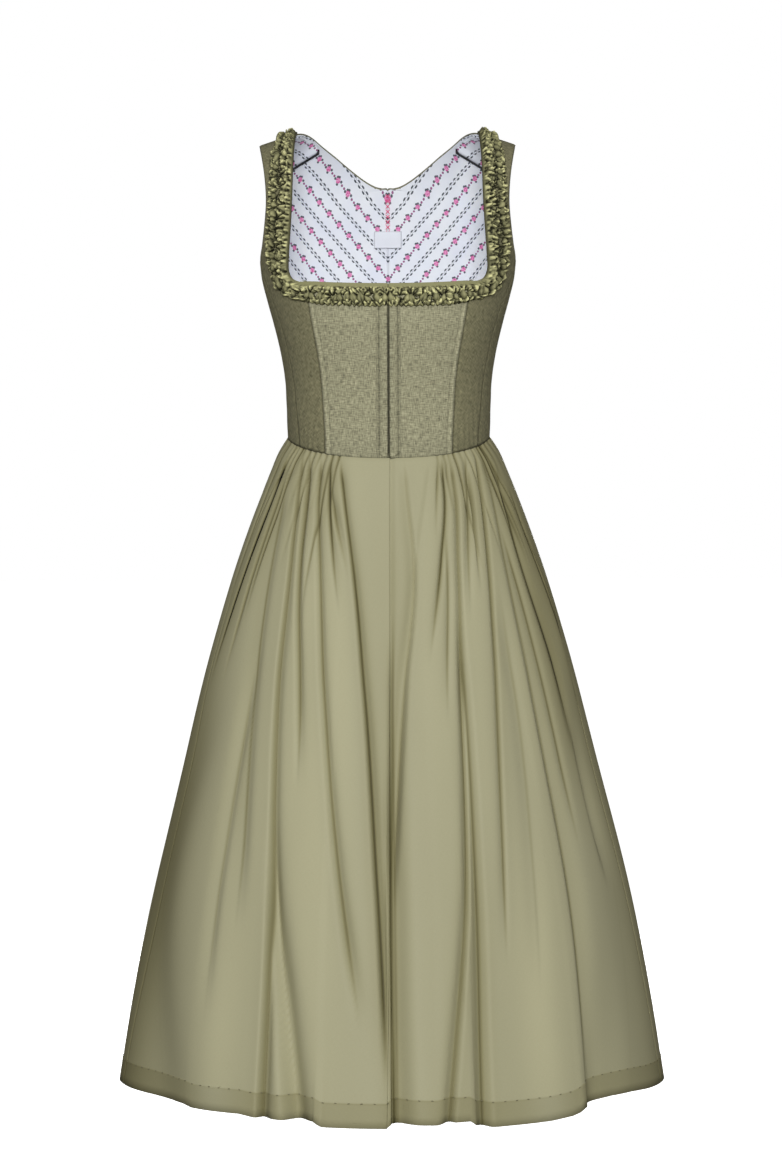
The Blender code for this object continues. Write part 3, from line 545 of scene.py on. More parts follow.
def cut_size(mesh):
    """Width, length and area of the flat piece that a mesh was cut from, read off its UV map in metres."""
    uv = np.empty(len(mesh.loops) * 2, np.float32)
    mesh.uv_layers["cut"].data.foreach_get("uv", uv)
    uv = uv.reshape(-1, 4, 2).astype(float)
    width, length = np.ptp(uv.reshape(-1, 2), axis=0)
    first = uv[:, 2] - uv[:, 0]
    second = uv[:, 3] - uv[:, 1]
    area = np.abs(first[:, 0] * second[:, 1] - first[:, 1] * second[:, 0]).sum() / 2
    return float(width), float(length), float(area)


def finish_piece(piece, node, held="stretched", gather=1.0):
    """Says what a finished piece rides on and replaces, and what flat piece of cloth it was cut from."""
    width, length, area = cut_size(piece.data)
    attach(piece, "root")
    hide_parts(node)
    print(f"{piece.name}: cut {width * gather:.3f} x {length:.3f} m, {area * gather:.4f} m2, {held}")


def side_name(stem, side):
    return stem + ("_right" if side > 0 else "_left")


def make_pair(make, node):
    """Makes the left and the right piece of one kind, each in the place of its own node."""
    for side in (-1, 1):
        finish_piece(make(side), side_name(node, side))


print("grid helpers ready, waist at", WAIST_HEIGHT)

# %% [markdown]
# ## Writing materials as formulas
# A material is a graph of small nodes. Wiring a long formula by hand hides its meaning, so this helper
# lets a material be written as ordinary sums: each Value holds one output socket, and adding or
# multiplying two of them adds a Math node. The graph that comes out is the same as one drawn in the Shader
# Editor.


# %% Values
def add_node(tree, kind, inputs, **settings):
    """A new node with its settings. Each input is set to a plain value or wired to a socket."""
    node = tree.nodes.new(kind)
    for key, value in settings.items():
        setattr(node, key, value)
    for key, value in inputs.items():
        value = getattr(value, "socket", value)
        if isinstance(value, bpy.types.NodeSocket):
            tree.links.new(value, node.inputs[key])
        else:
            node.inputs[key].default_value = value
    return node


class Value:
    """One number at every point of a surface, as an output socket of a node."""

    def __init__(self, socket):
        self.socket = socket

    def math(self, operation, *others):
        inputs = dict(enumerate((self, *others)))
        return Value(add_node(self.socket.id_data, "ShaderNodeMath", inputs, operation=operation).outputs[0])

    def __add__(self, other):
        return self.math("ADD", other)

    def __sub__(self, other):
        return self.math("SUBTRACT", other)

    def __mul__(self, other):
        return self.math("MULTIPLY", other)

    def size(self):
        return self.math("ABSOLUTE")

    def under(self, limit, soft):
        """1 where the value is under the limit and 0 above it, with a soft border."""
        inputs = {"Value": self, "From Min": limit - soft / 2, "From Max": limit + soft / 2}
        inputs.update({"To Min": 1, "To Max": 0})
        node = add_node(self.socket.id_data, "ShaderNodeMapRange", inputs, interpolation_type="SMOOTHSTEP")
        return Value(node.outputs["Result"])

    def repeat(self, pitch):
        """The distance from the middle of the nearest of stripes that lie a pitch apart."""
        return self.math("WRAP", pitch / 2, -pitch / 2)


print("a Value adds, subtracts, multiplies and repeats")


# %% Recipes
class Recipe:
    """A new material with its shader, and short names for the nodes that this dress needs."""

    def __init__(self, name, roughness, sheen=0.0, specular=0.3):
        self.material = bpy.data.materials.new(name)
        self.material.use_nodes = True
        self.tree = self.material.node_tree
        self.shader = self.tree.nodes["Principled BSDF"]
        self.shader.inputs["Roughness"].default_value = roughness
        self.shader.inputs["Sheen Weight"].default_value = sheen
        self.shader.inputs["Specular IOR Level"].default_value = specular

    def add(self, kind, inputs, **settings):
        return add_node(self.tree, kind, inputs, **settings)

    def cut(self, turn=0.0):
        """Across and along the cloth in metres, from its UV map, turned if the cloth is cut on the bias."""
        uv = self.add("ShaderNodeUVMap", {}, uv_map="cut").outputs["UV"]
        return self.add("ShaderNodeMapping", {"Rotation": (0, 0, turn), "Vector": uv}).outputs["Vector"]

    def axes(self, vector):
        return [Value(output) for output in self.add("ShaderNodeSeparateXYZ", {0: vector}).outputs]

    def attribute(self, name):
        return Value(self.add("ShaderNodeAttribute", {}, attribute_name=name).outputs["Fac"])

    def noise(self, vector, across, along):
        """Noise whose spots are about 1 / across by 1 / along metres."""
        scaled = self.add("ShaderNodeMapping", {"Scale": (across, along, across), "Vector": vector})
        inputs = {"Scale": 1, "Detail": 2, "Vector": scaled.outputs["Vector"]}
        return Value(self.add("ShaderNodeTexNoise", inputs).outputs["Fac"])

    def colour(self, value):
        """A plain colour, linear red, green and blue."""
        node = self.add("ShaderNodeRGB", {})
        node.outputs[0].default_value = (*value, 1)
        return node.outputs[0]

    def mix(self, share, first, second):
        """The first colour where share is 0, and the second where it is 1."""
        node = self.add("ShaderNodeMix", {"Factor": share}, data_type="RGBA")
        for name, colour in (("A", first), ("B", second)):
            socket = [i for i in node.inputs if i.name == name and i.type == "RGBA"][0]
            self.tree.links.new(colour, socket)
        return [o for o in node.outputs if o.type == "RGBA"][0]

    def shade(self, colour, value):
        """A colour made lighter or darker: each of its channels times the value."""
        return self.add("ShaderNodeVectorMath", {0: colour, "Scale": value}, operation="SCALE").outputs[0]

    def paint(self, colour):
        self.tree.links.new(colour, self.shader.inputs["Base Color"])

    def bump(self, height, depth):
        """Relief: height runs from 0 to 1, and depth is that of the relief in metres."""
        node = self.add("ShaderNodeBump", {"Strength": 1, "Distance": depth, "Height": height})
        self.tree.links.new(node.outputs["Normal"], self.shader.inputs["Normal"])


print("a Recipe cuts, mixes, shades, paints and bumps")

# %% [markdown]
# ## Cloth
# The bodice is woven from uneven, two-tone yarns. Slubs, the thick places in a yarn, show as short light
# and dark dashes along both threads, so two stretched noises make them, one for each direction. The side
# panels are cut across the grain, and their darker colour is painted shade, for panels that turn away from
# the light. The skirt is a fine, close weave with a quiet satin face.

# %% Bodice cloth
BODICE_COLOUR = (0.392, 0.378, 0.248)
# The side panels' colour is the bodice cloth's made darker: painted shade for panels that turn away from the
# light.
SHADED_SIDE_PANEL_COLOUR = (0.247, 0.233, 0.135)
SKIRT_COLOUR = (0.424, 0.406, 0.258)
# Colour of painted shade on the skirt: its colour turns towards this where the shade attribute is high.
PAINTED_SHADE_COLOUR = (0.430, 0.385, 0.165)
BIAS = math.radians(42)
SLUB_LENGTH = 0.0075
SLUB_WIDTH = 0.0011
YARN_PITCH = 0.0009
YARN_RELIEF = 0.15
WEAVE_RELIEF = 0.0006
CLOUDS_PER_METRE = 60
CLOUD_CONTRAST = 0.16


def woven(name, colour, turn, contrast):
    recipe = Recipe(name, roughness=0.85, sheen=0.04, specular=0.12)
    cut = recipe.cut(turn)
    weft = recipe.noise(cut, 1 / SLUB_LENGTH, 1 / SLUB_WIDTH)
    warp = recipe.noise(cut, 1 / SLUB_WIDTH, 1 / SLUB_LENGTH)
    clouds = recipe.noise(cut, CLOUDS_PER_METRE, CLOUDS_PER_METRE)
    across, along, _ = recipe.axes(cut)
    turns = 2 * math.pi / YARN_PITCH
    threads = (across * turns).math("SINE") * (along * turns).math("SINE")
    tone = (weft + warp - 1) * contrast + (clouds - 0.5) * CLOUD_CONTRAST + 1
    lit = recipe.attribute("shade") * -1 + 1
    recipe.paint(recipe.shade(recipe.colour(colour), tone * lit))
    recipe.bump((weft + warp) * 0.5 + threads * YARN_RELIEF, WEAVE_RELIEF)
    return recipe.material


FRONT_CLOTH = woven("bodice_cloth", BODICE_COLOUR, turn=0.0, contrast=1.7)
SIDE_CLOTH = woven("side_cloth", SHADED_SIDE_PANEL_COLOUR, turn=BIAS, contrast=1.6)
print("bodice cloth:", FRONT_CLOTH.name, SIDE_CLOTH.name)

# %% Skirt cloth
SATIN_LONG = 260
SATIN_FINE = 1600
SATIN_CONTRAST = 0.10
SATIN_CLOUDS = (14, 7)
SATIN_CLOUD_CONTRAST = 0.05
SATIN_RELIEF = 0.00008
# How far painted shade turns the skirt's colour towards the colour of painted shade.
PAINTED_SHADE_TINT = 1.35


def satin(name, colour):
    """Smooth cloth whose creases are painted warmer as well as darker, because light there comes through
    cloth.
    """
    recipe = Recipe(name, roughness=0.55, sheen=0.0, specular=0.15)
    cut = recipe.cut()
    weft = recipe.noise(cut, SATIN_LONG, SATIN_FINE)
    warp = recipe.noise(cut, SATIN_FINE, SATIN_LONG)
    clouds = recipe.noise(cut, *SATIN_CLOUDS)
    tone = (weft + warp - 1) * SATIN_CONTRAST + (clouds - 0.5) * SATIN_CLOUD_CONTRAST + 1
    shade = recipe.attribute("shade")
    base = recipe.mix(shade * PAINTED_SHADE_TINT, recipe.colour(colour), recipe.colour(PAINTED_SHADE_COLOUR))
    recipe.paint(recipe.shade(base, tone * (shade * -1 + 1)))
    recipe.bump((weft + warp) * 0.5, SATIN_RELIEF)
    return recipe.material


SKIRT_CLOTH = satin("skirt_cloth", SKIRT_COLOUR)
print("skirt cloth:", SKIRT_CLOTH.name)

# %% [markdown]
# ## Printed lining
# The lining is a fine cotton with a small floral stripe. Stripes of roses alternate with stripes of vine,
# and the two halves of the back are cut so that the stripes meet in a chevron at the centre-back seam. A
# stripe is a distance that repeats, so the print is written in two numbers: across the stripes, and along
# them.

# %% Sizes of the print
STRIPE_SLOPE = math.radians(47.7)
STRIPE_PITCH = 0.0331
ROSE_STRIPE_AT = -0.1812
ROSE_PITCH = 0.0187
ROSE_RADIUS = 0.0030
PETAL_SPOTS = 620
PETAL_WOBBLE = 0.0026
Leaf = namedtuple("Leaf", "along across")
ROSE_LEAVES = [
    Leaf(-0.0040, 0.0018),
    Leaf(0.0043, -0.0010),
    Leaf(0.0012, 0.0037),
    Leaf(-0.0016, -0.0036),
    Leaf(0.0030, 0.0024),
]
LEAF_RADIUS = 0.00150
BEAD_RADIUS = 0.00140
BEAD_FROM_MIDDLE = 0.0021
VINE_PITCH = 0.0150
VINE_HALF_WIDTH = 0.0012
VINE_SWAY = 0.0007
VINE_LINE = 0.00034
SPRIG_OUT = 0.0017
SPRIG_LENGTH = 0.0022
SPRIG_NARROW = 2.2
EDGE_SOFTNESS = 0.0004
print("rose every", ROSE_PITCH, "m, stripe every", STRIPE_PITCH, "m")

# %% Colours of the print
COTTON = (0.910, 0.945, 1.000)
COTTON_SHADOW = (0.820, 0.860, 0.980)
SHADOW_SPOTS = (26, 22)
SHADOW_CONTRAST = 2.2
SHADOW_SHARE = 0.35
COTTON_GRAIN = 1800
COTTON_RELIEF = 0.00010
ROSE_PINK = (0.900, 0.420, 0.700)
ROSE_DEEP = (0.700, 0.110, 0.360)
BEAD_COLOUR = (0.270, 0.030, 0.180)
LEAF_COLOUR = (0.030, 0.040, 0.060)
VINE_INK = 0.45
SPRIG_INK = 0.92
LEAF_INK = 0.90
BEAD_INK = 0.90


def far(first, second):
    """Length of a vector with these two parts."""
    return (first * first + second * second).math("SQRT")


def printed(name, shift=0.0):
    """Printed cotton. The shift moves the stripes up the cloth, as on a piece that is cut elsewhere."""
    recipe = Recipe(name, roughness=0.8, sheen=0.05, specular=0.15)
    cut = recipe.cut()
    out, up, _ = recipe.axes(cut)
    out = out.size()
    up = up - (ROSE_STRIPE_AT + shift)
    along = out * math.cos(STRIPE_SLOPE) + up * math.sin(STRIPE_SLOPE)
    across = up * math.cos(STRIPE_SLOPE) - out * math.sin(STRIPE_SLOPE)
    rose_across = across.repeat(STRIPE_PITCH)
    rose_along = along.repeat(ROSE_PITCH)
    wobble = (recipe.noise(cut, PETAL_SPOTS, PETAL_SPOTS) - 0.5) * PETAL_WOBBLE
    rose = (far(rose_across, rose_along) + wobble).under(ROSE_RADIUS, EDGE_SOFTNESS)
    leaves = None
    for leaf in ROSE_LEAVES:
        away = far(rose_along - leaf.along, rose_across - leaf.across)
        leaves = away if leaves is None else leaves.math("MINIMUM", away)
    leaves = leaves.under(LEAF_RADIUS, EDGE_SOFTNESS)
    bead_along = (along + ROSE_PITCH / 2).repeat(ROSE_PITCH).size() - BEAD_FROM_MIDDLE
    bead = far(bead_along, rose_across).under(BEAD_RADIUS, EDGE_SOFTNESS)
    vine_across = (across + STRIPE_PITCH / 2).repeat(STRIPE_PITCH)
    sway = (along * (4 * math.pi / VINE_PITCH)).math("SINE") * VINE_SWAY
    line = ((vine_across + sway).size() - VINE_HALF_WIDTH).size().under(VINE_LINE, EDGE_SOFTNESS)
    sprig_along = (along + vine_across.math("SIGN") * (VINE_PITCH / 8)).repeat(VINE_PITCH / 2)
    sprig_across = (vine_across.size() - SPRIG_OUT) * SPRIG_NARROW
    sprig = far(sprig_along, sprig_across).under(SPRIG_LENGTH, EDGE_SOFTNESS)
    shadow = (recipe.noise(cut, *SHADOW_SPOTS) - 0.5) * SHADOW_CONTRAST + SHADOW_SHARE
    colour = recipe.mix(shadow, recipe.colour(COTTON), recipe.colour(COTTON_SHADOW))
    colour = recipe.mix(line * VINE_INK, colour, recipe.colour(LEAF_COLOUR))
    colour = recipe.mix(sprig * SPRIG_INK, colour, recipe.colour(LEAF_COLOUR))
    colour = recipe.mix(leaves * LEAF_INK, colour, recipe.colour(LEAF_COLOUR))
    colour = recipe.mix(bead * BEAD_INK, colour, recipe.colour(BEAD_COLOUR))
    deep = recipe.noise(cut, PETAL_SPOTS, PETAL_SPOTS).under(0.5, 0.2)
    petals = recipe.mix(deep, recipe.colour(ROSE_PINK), recipe.colour(ROSE_DEEP))
    colour = recipe.mix(rose, colour, petals)
    recipe.paint(recipe.shade(colour, recipe.attribute("shade") * -1 + 1))
    recipe.bump(recipe.noise(cut, COTTON_GRAIN, COTTON_GRAIN), COTTON_RELIEF)
    return recipe.material


PRINT_CLOTH = printed("printed_lining")
TAB_CLOTH = printed("printed_tab", shift=0.012)
print("print:", PRINT_CLOTH.name, TAB_CLOTH.name)

# %% [markdown]
# ## The bodice panels
# Eight panels make the bodice: front, side front, side back and back on either side. Beside each seam the
# cloth turns in, because the seam allowance is pressed open under it, and a soft ridge runs along the
# front of the princess seams. Just above the waist the side panels pucker a little, where the skirt's
# gathers pull on them.

# %% Relief of the bodice
SEAM_DEPTH = 0.0007
SEAM_WIDTH = 0.0016
RIDGE_LIFT = 0.0007
RIDGE_FROM_SEAM = 0.0042
RIDGE_WIDTH = 0.0020
PUCKER_DEPTH = 0.00035
PUCKER_PITCH = 0.0085
PUCKER_REACH = 0.040
PuckerSway = namedtuple("PuckerSway", "amount per_metre start")
PUCKER_SWAYS = [PuckerSway(0.35, 70, 0.0), PuckerSway(0.25, 160, 1.3)]
ARC_STEPS = 40


def arc_from(surface, start, angle, level):
    """Length of cloth round the surface from the start angle to each point, at the point's own level."""
    share = np.linspace(0, 1, ARC_STEPS)[:, None, None]
    path = surface(start + (angle - start) * share, np.broadcast_to(level, (ARC_STEPS, *np.shape(angle))))
    length = np.linalg.norm(np.diff(path, axis=0), axis=-1).sum(axis=0)
    return length * np.sign(angle - start)


def puckers(angle, climb, round_body):
    """Soft upright folds of uneven width that fade out above the waist."""
    above = climb - waist_height(angle)
    sway = sum(s.amount * np.sin(s.per_metre * round_body + s.start) for s in PUCKER_SWAYS)
    waves = np.sin(2 * math.pi * round_body / PUCKER_PITCH + 2 * sway)
    return PUCKER_DEPTH * waves * np.exp(-np.maximum(above, 0) / PUCKER_REACH)


to_side_seam = arc_from(bodice, 0, np.array([[1.03]]), np.array([[WAIST_HEIGHT]]))[0, 0]
print("waist from centre front to the side seam:", round(float(to_side_seam), 4), "m")

# %% Shade of the bodice
SEAM_SHADE = 0.52
SEAM_SHADE_WIDTH = 0.0013
RIDGE_GLOW = 0.16
SECOND_LINE_FROM_SEAM = 0.0088
SECOND_LINE_SHADE = 0.20
LINE_WIDTH = 0.0008
WAIST_SHADE = 0.55
WAIST_SOFT_SHADE = 0.12
WAIST_SOFT_WIDTH = 0.022
SIDE_SHADE = 0.05
SIDE_SHADE_AT = 60
SIDE_GLOW = 0.20
SIDE_GLOW_AT = 90
SIDE_WIDTH = 13
BODICE_WALL = 0.0016
BODICE_ROWS = 110
BODICE_COLUMNS = 46
BACK_PANEL_ROWS = 170
BACK_PANEL_COLUMNS = 36


def bodice_patch(grid, side, ridged=False, puckered=False, seams=(True, True)):
    """Points, UVs and shade of one panel of the bodice on the given side, with its relief."""
    angle, climb = grid
    round_body = arc_from(bodice, 0.0, angle, climb)
    points = bodice(angle, climb)
    normal = normals(bodice, angle, climb)
    to_first = distances(points, 1)
    to_last = to_first[:, -1:] - to_first
    above = climb - waist_height(angle)
    lift = np.zeros(angle.shape)
    shade = WAIST_SHADE * bump(above, SEAM_SHADE_WIDTH)
    for sewn, away in zip(seams, (to_first, to_last)):
        if sewn:
            lift -= SEAM_DEPTH * bump(away, SEAM_WIDTH)
            shade = np.maximum(shade, SEAM_SHADE * bump(away, SEAM_SHADE_WIDTH))
    if ridged:
        lift += RIDGE_LIFT * bump(to_last - RIDGE_FROM_SEAM, RIDGE_WIDTH)
        shade -= RIDGE_GLOW * bump(to_last - RIDGE_FROM_SEAM, RIDGE_WIDTH)
        shade += SECOND_LINE_SHADE * bump(to_last - SECOND_LINE_FROM_SEAM, LINE_WIDTH)
    if puckered:
        lift += puckers(angle, climb, round_body)
    degrees = np.degrees(angle)
    turned_away = SIDE_SHADE * bump(degrees - SIDE_SHADE_AT, SIDE_WIDTH)
    shade += turned_away - SIDE_GLOW * bump(degrees - SIDE_GLOW_AT, SIDE_WIDTH)
    shade += WAIST_SOFT_SHADE * bump(above, WAIST_SOFT_WIDTH)
    points = points + normal * lift[..., None]
    points[..., 0] *= side
    return points, np.stack([side * round_body, climb], axis=-1), shade


print("shade lines: the closure's and the seams' at", SEAM_SHADE, "and the waist's at", WAIST_SHADE)

# %% Front panels
UNDERLAP = 0.012
UNDERLAP_DEPTH = 0.0026
UNDERLAP_SHADE = 0.8
FRONT_PANEL_COLUMNS = 84
CLOSURE_SHADE = 0.8
CLOSURE_SHADE_WIDTH = 0.0016
PLACKET_WALL = 0.0012
PLACKET_WIDTH = 0.0104
PLACKET_FROM_CENTRE = 0.0010
PLACKET_ABOVE_WAIST = 0.003
PLACKET_CORNER = 0.0045
PLACKET_TOP = NECK_FRONT_HEIGHT - 0.022
PLACKET_EDGE_SHADE = 0.62
PLACKET_EDGE_SHADE_WIDTH = 0.0010
PLACKET_SHADE_FADE = 0.002
STITCH_LINE_FROM_PLACKET = 0.0028
STITCH_LINE_SHADE = 0.30


def front_panel(side):
    grid = panel_grid(*front_edges(), BODICE_ROWS, FRONT_PANEL_COLUMNS)
    points, uv, shade = bodice_patch(grid, side, ridged=True, seams=(False, True))
    beside = np.abs(points[..., 0]) - PLACKET_FROM_CENTRE - PLACKET_WIDTH
    above = points[..., 2] - waist_height(0.0) - PLACKET_ABOVE_WAIST
    covered = smooth_step(above / PLACKET_SHADE_FADE)
    shade = shade + covered * PLACKET_EDGE_SHADE * bump(beside, PLACKET_EDGE_SHADE_WIDTH)
    shade = shade + covered * STITCH_LINE_SHADE * bump(beside - STITCH_LINE_FROM_PLACKET, LINE_WIDTH)
    shade = shade + CLOSURE_SHADE * bump(points[..., 0], CLOSURE_SHADE_WIDTH)
    patches = [(points, uv, shade)]
    if side < 0:
        edge = points[:, :1]
        inward = np.array([0, UNDERLAP_DEPTH, 0])
        lap = np.concatenate([edge, edge + inward, edge + inward + np.array([UNDERLAP, 0, 0])], axis=1)
        patches.append((lap, uv[:, :3], np.full(lap.shape[:2], UNDERLAP_SHADE)))
    return cloth_piece(side_name("front_panel", side), patches, [FRONT_CLOTH, PRINT_CLOTH], BODICE_WALL)


make_pair(front_panel, "bodice_front")

# %% [markdown]
# ### Side fronts with their straps
# On a real dirndl the side front runs from the waist over the bust and on into the strap, in one piece, so
# that no seam crosses the shoulder in front. It could be a plain panel with a strap joined to it. One grid
# that narrows from the armpit on does both and keeps the cloth's grain unbroken.

# %% Side fronts
SIDE_FRONT_ROWS = 2 * BODICE_ROWS


def side_front_panel(side):
    grid = panel_grid(*side_front_edges(), SIDE_FRONT_ROWS, BODICE_COLUMNS)
    patch = bodice_patch(grid, side, puckered=True)
    return cloth_piece(side_name("side_front_panel", side), [patch], [SIDE_CLOTH, PRINT_CLOTH], BODICE_WALL)


make_pair(side_front_panel, "bodice_side_front")

# %% [markdown]
# ### Side backs and backs
# Behind, the bodice is as plain as it can be: a centre-back seam, and a princess seam from the armhole
# down on either side. The rows of the side back fan out, so that its top row follows the curve of the
# armhole. The back goes on over the shoulder until it meets the front strap.


# %% Side backs and backs
def side_back_panel(side):
    grid = side_back_grid(back_princess_edge(), side_seam_edge(), BODICE_ROWS, BACK_PANEL_COLUMNS)
    patch = bodice_patch(grid, side, puckered=True)
    return cloth_piece(side_name("side_back_panel", side), [patch], [SIDE_CLOTH], BODICE_WALL)


def back_panel(side):
    patch = bodice_patch(panel_grid(*back_edges(), BACK_PANEL_ROWS, BACK_PANEL_COLUMNS), side)
    return cloth_piece(side_name("back_panel", side), [patch], [FRONT_CLOTH], BODICE_WALL)


for side in (-1, 1):
    finish_piece(side_back_panel(side), side_name("bodice_side_back", side))
    finish_piece(back_panel(side), side_name("bodice_back", side))

# %% [markdown]
# ## The form of the skirt
# The skirt is four widths of cloth gathered into the waist seam. Its smooth form is a stack of rings that
# widen downwards. The folds are then pressed into it as soft grooves, each of them a row of a table: where
# it runs at six levels of the skirt, where it starts and ends, how deep it is at the waist and at the hem,
# how far it spreads to either side, and how much painted shade lies in its bottom. A table like this keeps
# every fold in reach, which a cloth simulation would not.

# %% Skirt rings
HEM_HEIGHT = -1.190
HEM_DIP = 0.005
Ring = namedtuple("Ring", "drop half_width front_depth back_depth power")
SKIRT_RINGS = [
    Ring(0.00, 0.1265, 0.0945, 0.0810, 2.30),
    Ring(0.02, 0.1368, 0.0995, 0.0915, 2.25),
    Ring(0.05, 0.1473, 0.1055, 0.1020, 2.20),
    Ring(0.10, 0.1633, 0.1155, 0.1170, 2.15),
    Ring(0.19, 0.1893, 0.1340, 0.1400, 2.10),
    Ring(0.33, 0.2233, 0.1630, 0.1710, 2.00),
    Ring(0.52, 0.2632, 0.2040, 0.2110, 1.95),
    Ring(0.70, 0.2993, 0.2450, 0.2500, 1.90),
    Ring(0.89, 0.3280, 0.2880, 0.2900, 1.85),
    Ring(1.00, 0.3410, 0.3130, 0.3100, 1.85),
]
LEVELS = [0.0, 0.12, 0.35, 0.65, 1.0]
SkirtLine = namedtuple("SkirtLine", "waist hip thigh knee hem")
OPENING_EDGE = SkirtLine(0.3, 0.2, 0.0, -0.4, -1.4)
SKIRT_SIDE_SEAM = SkirtLine(61.0, 72.0, 76.0, 78.0, 79.0)
print("skirt: from", 2 * SKIRT_RINGS[0].half_width, "m wide to", 2 * SKIRT_RINGS[-1].half_width, "m")

# %% Folds in front
FOLD_LEVELS = [0.0, 0.06, 0.16, 0.35, 0.65, 1.0]
Fold = namedtuple("Fold", "degrees start end depth_above depth_below left right dark")
FOLDS_LEFT = [
    Fold((-66.0, -66.0, -65.9, -68.0, -76.2, -59.0), 0.31, 1.20, 0.7, 15.0, 34.0, 32.8, 0.02),
    Fold((-44.8, -44.8, -45.5, -48.1, -46.7, -44.4), 0.29, 0.89, 7.9, 2.6, 6.5, 4.9, 0.18),
    Fold((-36.3, -36.3, -36.2, -36.2, -30.4, -22.0), 0.53, 1.20, 5.0, 23.6, 4.2, 10.4, 0.15),
    Fold((-65.9, -65.5, -67.5, -72.9, -74.1, -74.1), 0.01, 0.39, 2.0, 2.0, 1.8, 2.6, 0.92),
    Fold((-58.8, -55.7, -51.6, -46.8, -40.0, -37.0), 0.05, 0.75, 2.3, 8.3, 13.6, 6.5, 0.35),
    Fold((-56.7, -59.4, -60.8, -62.9, -64.8, -64.8), 0.03, 0.38, 2.0, 2.5, 1.6, 3.0, 0.40),
    Fold((-52.0, -46.6, -40.9, -37.2, -31.2, -29.4), 0.00, 1.20, 2.6, 12.9, 1.6, 6.8, 0.42),
    Fold((-46.8, -41.4, -36.8, -29.4, -23.9, -21.2), 0.00, 0.53, 7.7, 2.5, 2.4, 5.0, 0.54),
    Fold((-36.9, -33.7, -27.3, -21.2, -13.1, -4.0), 0.00, 0.87, 4.3, 8.8, 2.8, 4.7, 0.52),
    Fold((-30.4, -27.2, -21.1, -12.8, -12.9, -12.9), 0.00, 0.26, 3.4, 3.9, 2.5, 4.2, 0.75),
    Fold((-31.5, -26.2, -16.4, -7.0, -7.1, -7.1), 0.04, 0.20, 7.0, 4.3, 2.0, 5.8, 0.66),
    Fold((-24.5, -19.7, -13.5, -8.1, -3.7, -0.8), 0.00, 0.96, 3.3, 10.5, 2.1, 4.7, 0.66),
]
FOLDS_CENTRE = [
    Fold((1.0, 1.2, 1.0, 0.9, 1.1, 1.6), 0.22, 1.20, 1.0, 17.0, 4.0, 8.5, 0.34),
    Fold((0.4, 0.4, 0.3, 0.1, 0.1, 0.5), 0.42, 1.20, 0.1, 1.0, 3.0, 4.0, 0.50),
]
FOLDS_RIGHT = [
    Fold((6.3, 7.0, 8.5, 4.6, 0.8, -0.4), 0.00, 0.71, 1.1, 20.3, 7.3, 2.8, 0.15),
    Fold((19.7, 15.4, 9.5, 6.2, 5.8, 5.8), 0.00, 0.31, 1.0, 1.6, 3.1, 5.1, 0.04),
    Fold((24.7, 21.0, 17.1, 15.9, 15.9, 15.9), 0.00, 0.14, 2.7, 4.9, 2.1, 2.5, 0.44),
    Fold((26.7, 25.5, 19.7, 11.6, 10.9, 10.9), 0.00, 0.33, 4.5, 5.6, 3.4, 3.4, 0.68),
    Fold((29.8, 28.3, 29.8, 30.5, 30.5, 30.5), 0.00, 0.10, 6.0, 4.3, 3.3, 2.8, 0.32),
    Fold((24.3, 24.1, 21.8, 17.9, 15.4, 15.4), 0.10, 0.43, 2.5, 2.9, 3.6, 3.4, 0.43),
    Fold((31.9, 31.2, 26.9, 23.2, 19.5, 13.2), 0.00, 1.20, 4.1, 9.1, 4.7, 2.0, 0.42),
    Fold((25.0, 24.9, 24.6, 24.0, 22.2, 20.7), 0.22, 1.20, 2.8, 12.6, 5.5, 3.1, 0.52),
    Fold((43.8, 38.7, 31.6, 26.1, 25.9, 25.9), 0.00, 0.27, 4.5, 5.5, 5.4, 3.5, 0.43),
    Fold((44.4, 40.7, 35.8, 29.9, 29.7, 29.7), 0.02, 0.23, 7.2, 3.8, 1.8, 1.9, 0.47),
    Fold((53.0, 47.9, 41.5, 35.1, 29.1, 25.9), 0.00, 0.78, 4.9, 1.9, 3.6, 1.9, 0.44),
    Fold((56.0, 54.4, 50.0, 48.9, 48.8, 47.1), 0.00, 1.20, 1.2, 9.2, 3.4, 10.9, 0.32),
    Fold((70.5, 65.1, 60.5, 64.1, 61.2, 61.2), 0.03, 0.50, 3.0, 6.5, 4.5, 6.5, 0.50),
    Fold((73.2, 73.2, 72.8, 76.4, 80.0, 80.0), 0.06, 0.44, 2.0, 2.5, 2.6, 3.2, 0.42),
    Fold((41.0, 40.8, 41.8, 42.1, 37.9, 33.0), 0.20, 0.84, 6.6, 1.6, 9.4, 7.8, 0.15),
    Fold((52.6, 52.5, 53.0, 54.5, 54.8, 52.7), 0.11, 0.64, 1.8, 3.0, 4.2, 4.0, 0.38),
    Fold((64.9, 64.9, 64.8, 66.1, 66.7, 69.5), 0.38, 0.70, 7.2, 11.3, 4.7, 13.4, 0.02),
    Fold((77.6, 78.8, 77.7, 75.5, 71.2, 62.2), 0.31, 1.20, 1.6, 6.0, 35.8, 30.2, 0.02),
    Fold((57.7, 57.7, 57.7, 57.9, 56.2, 51.3), 0.69, 1.20, 2.7, 14.0, 13.2, 21.2, 0.02),
]
print("folds in front:", len(FOLDS_LEFT), "left,", len(FOLDS_CENTRE), "centre,", len(FOLDS_RIGHT), "right")

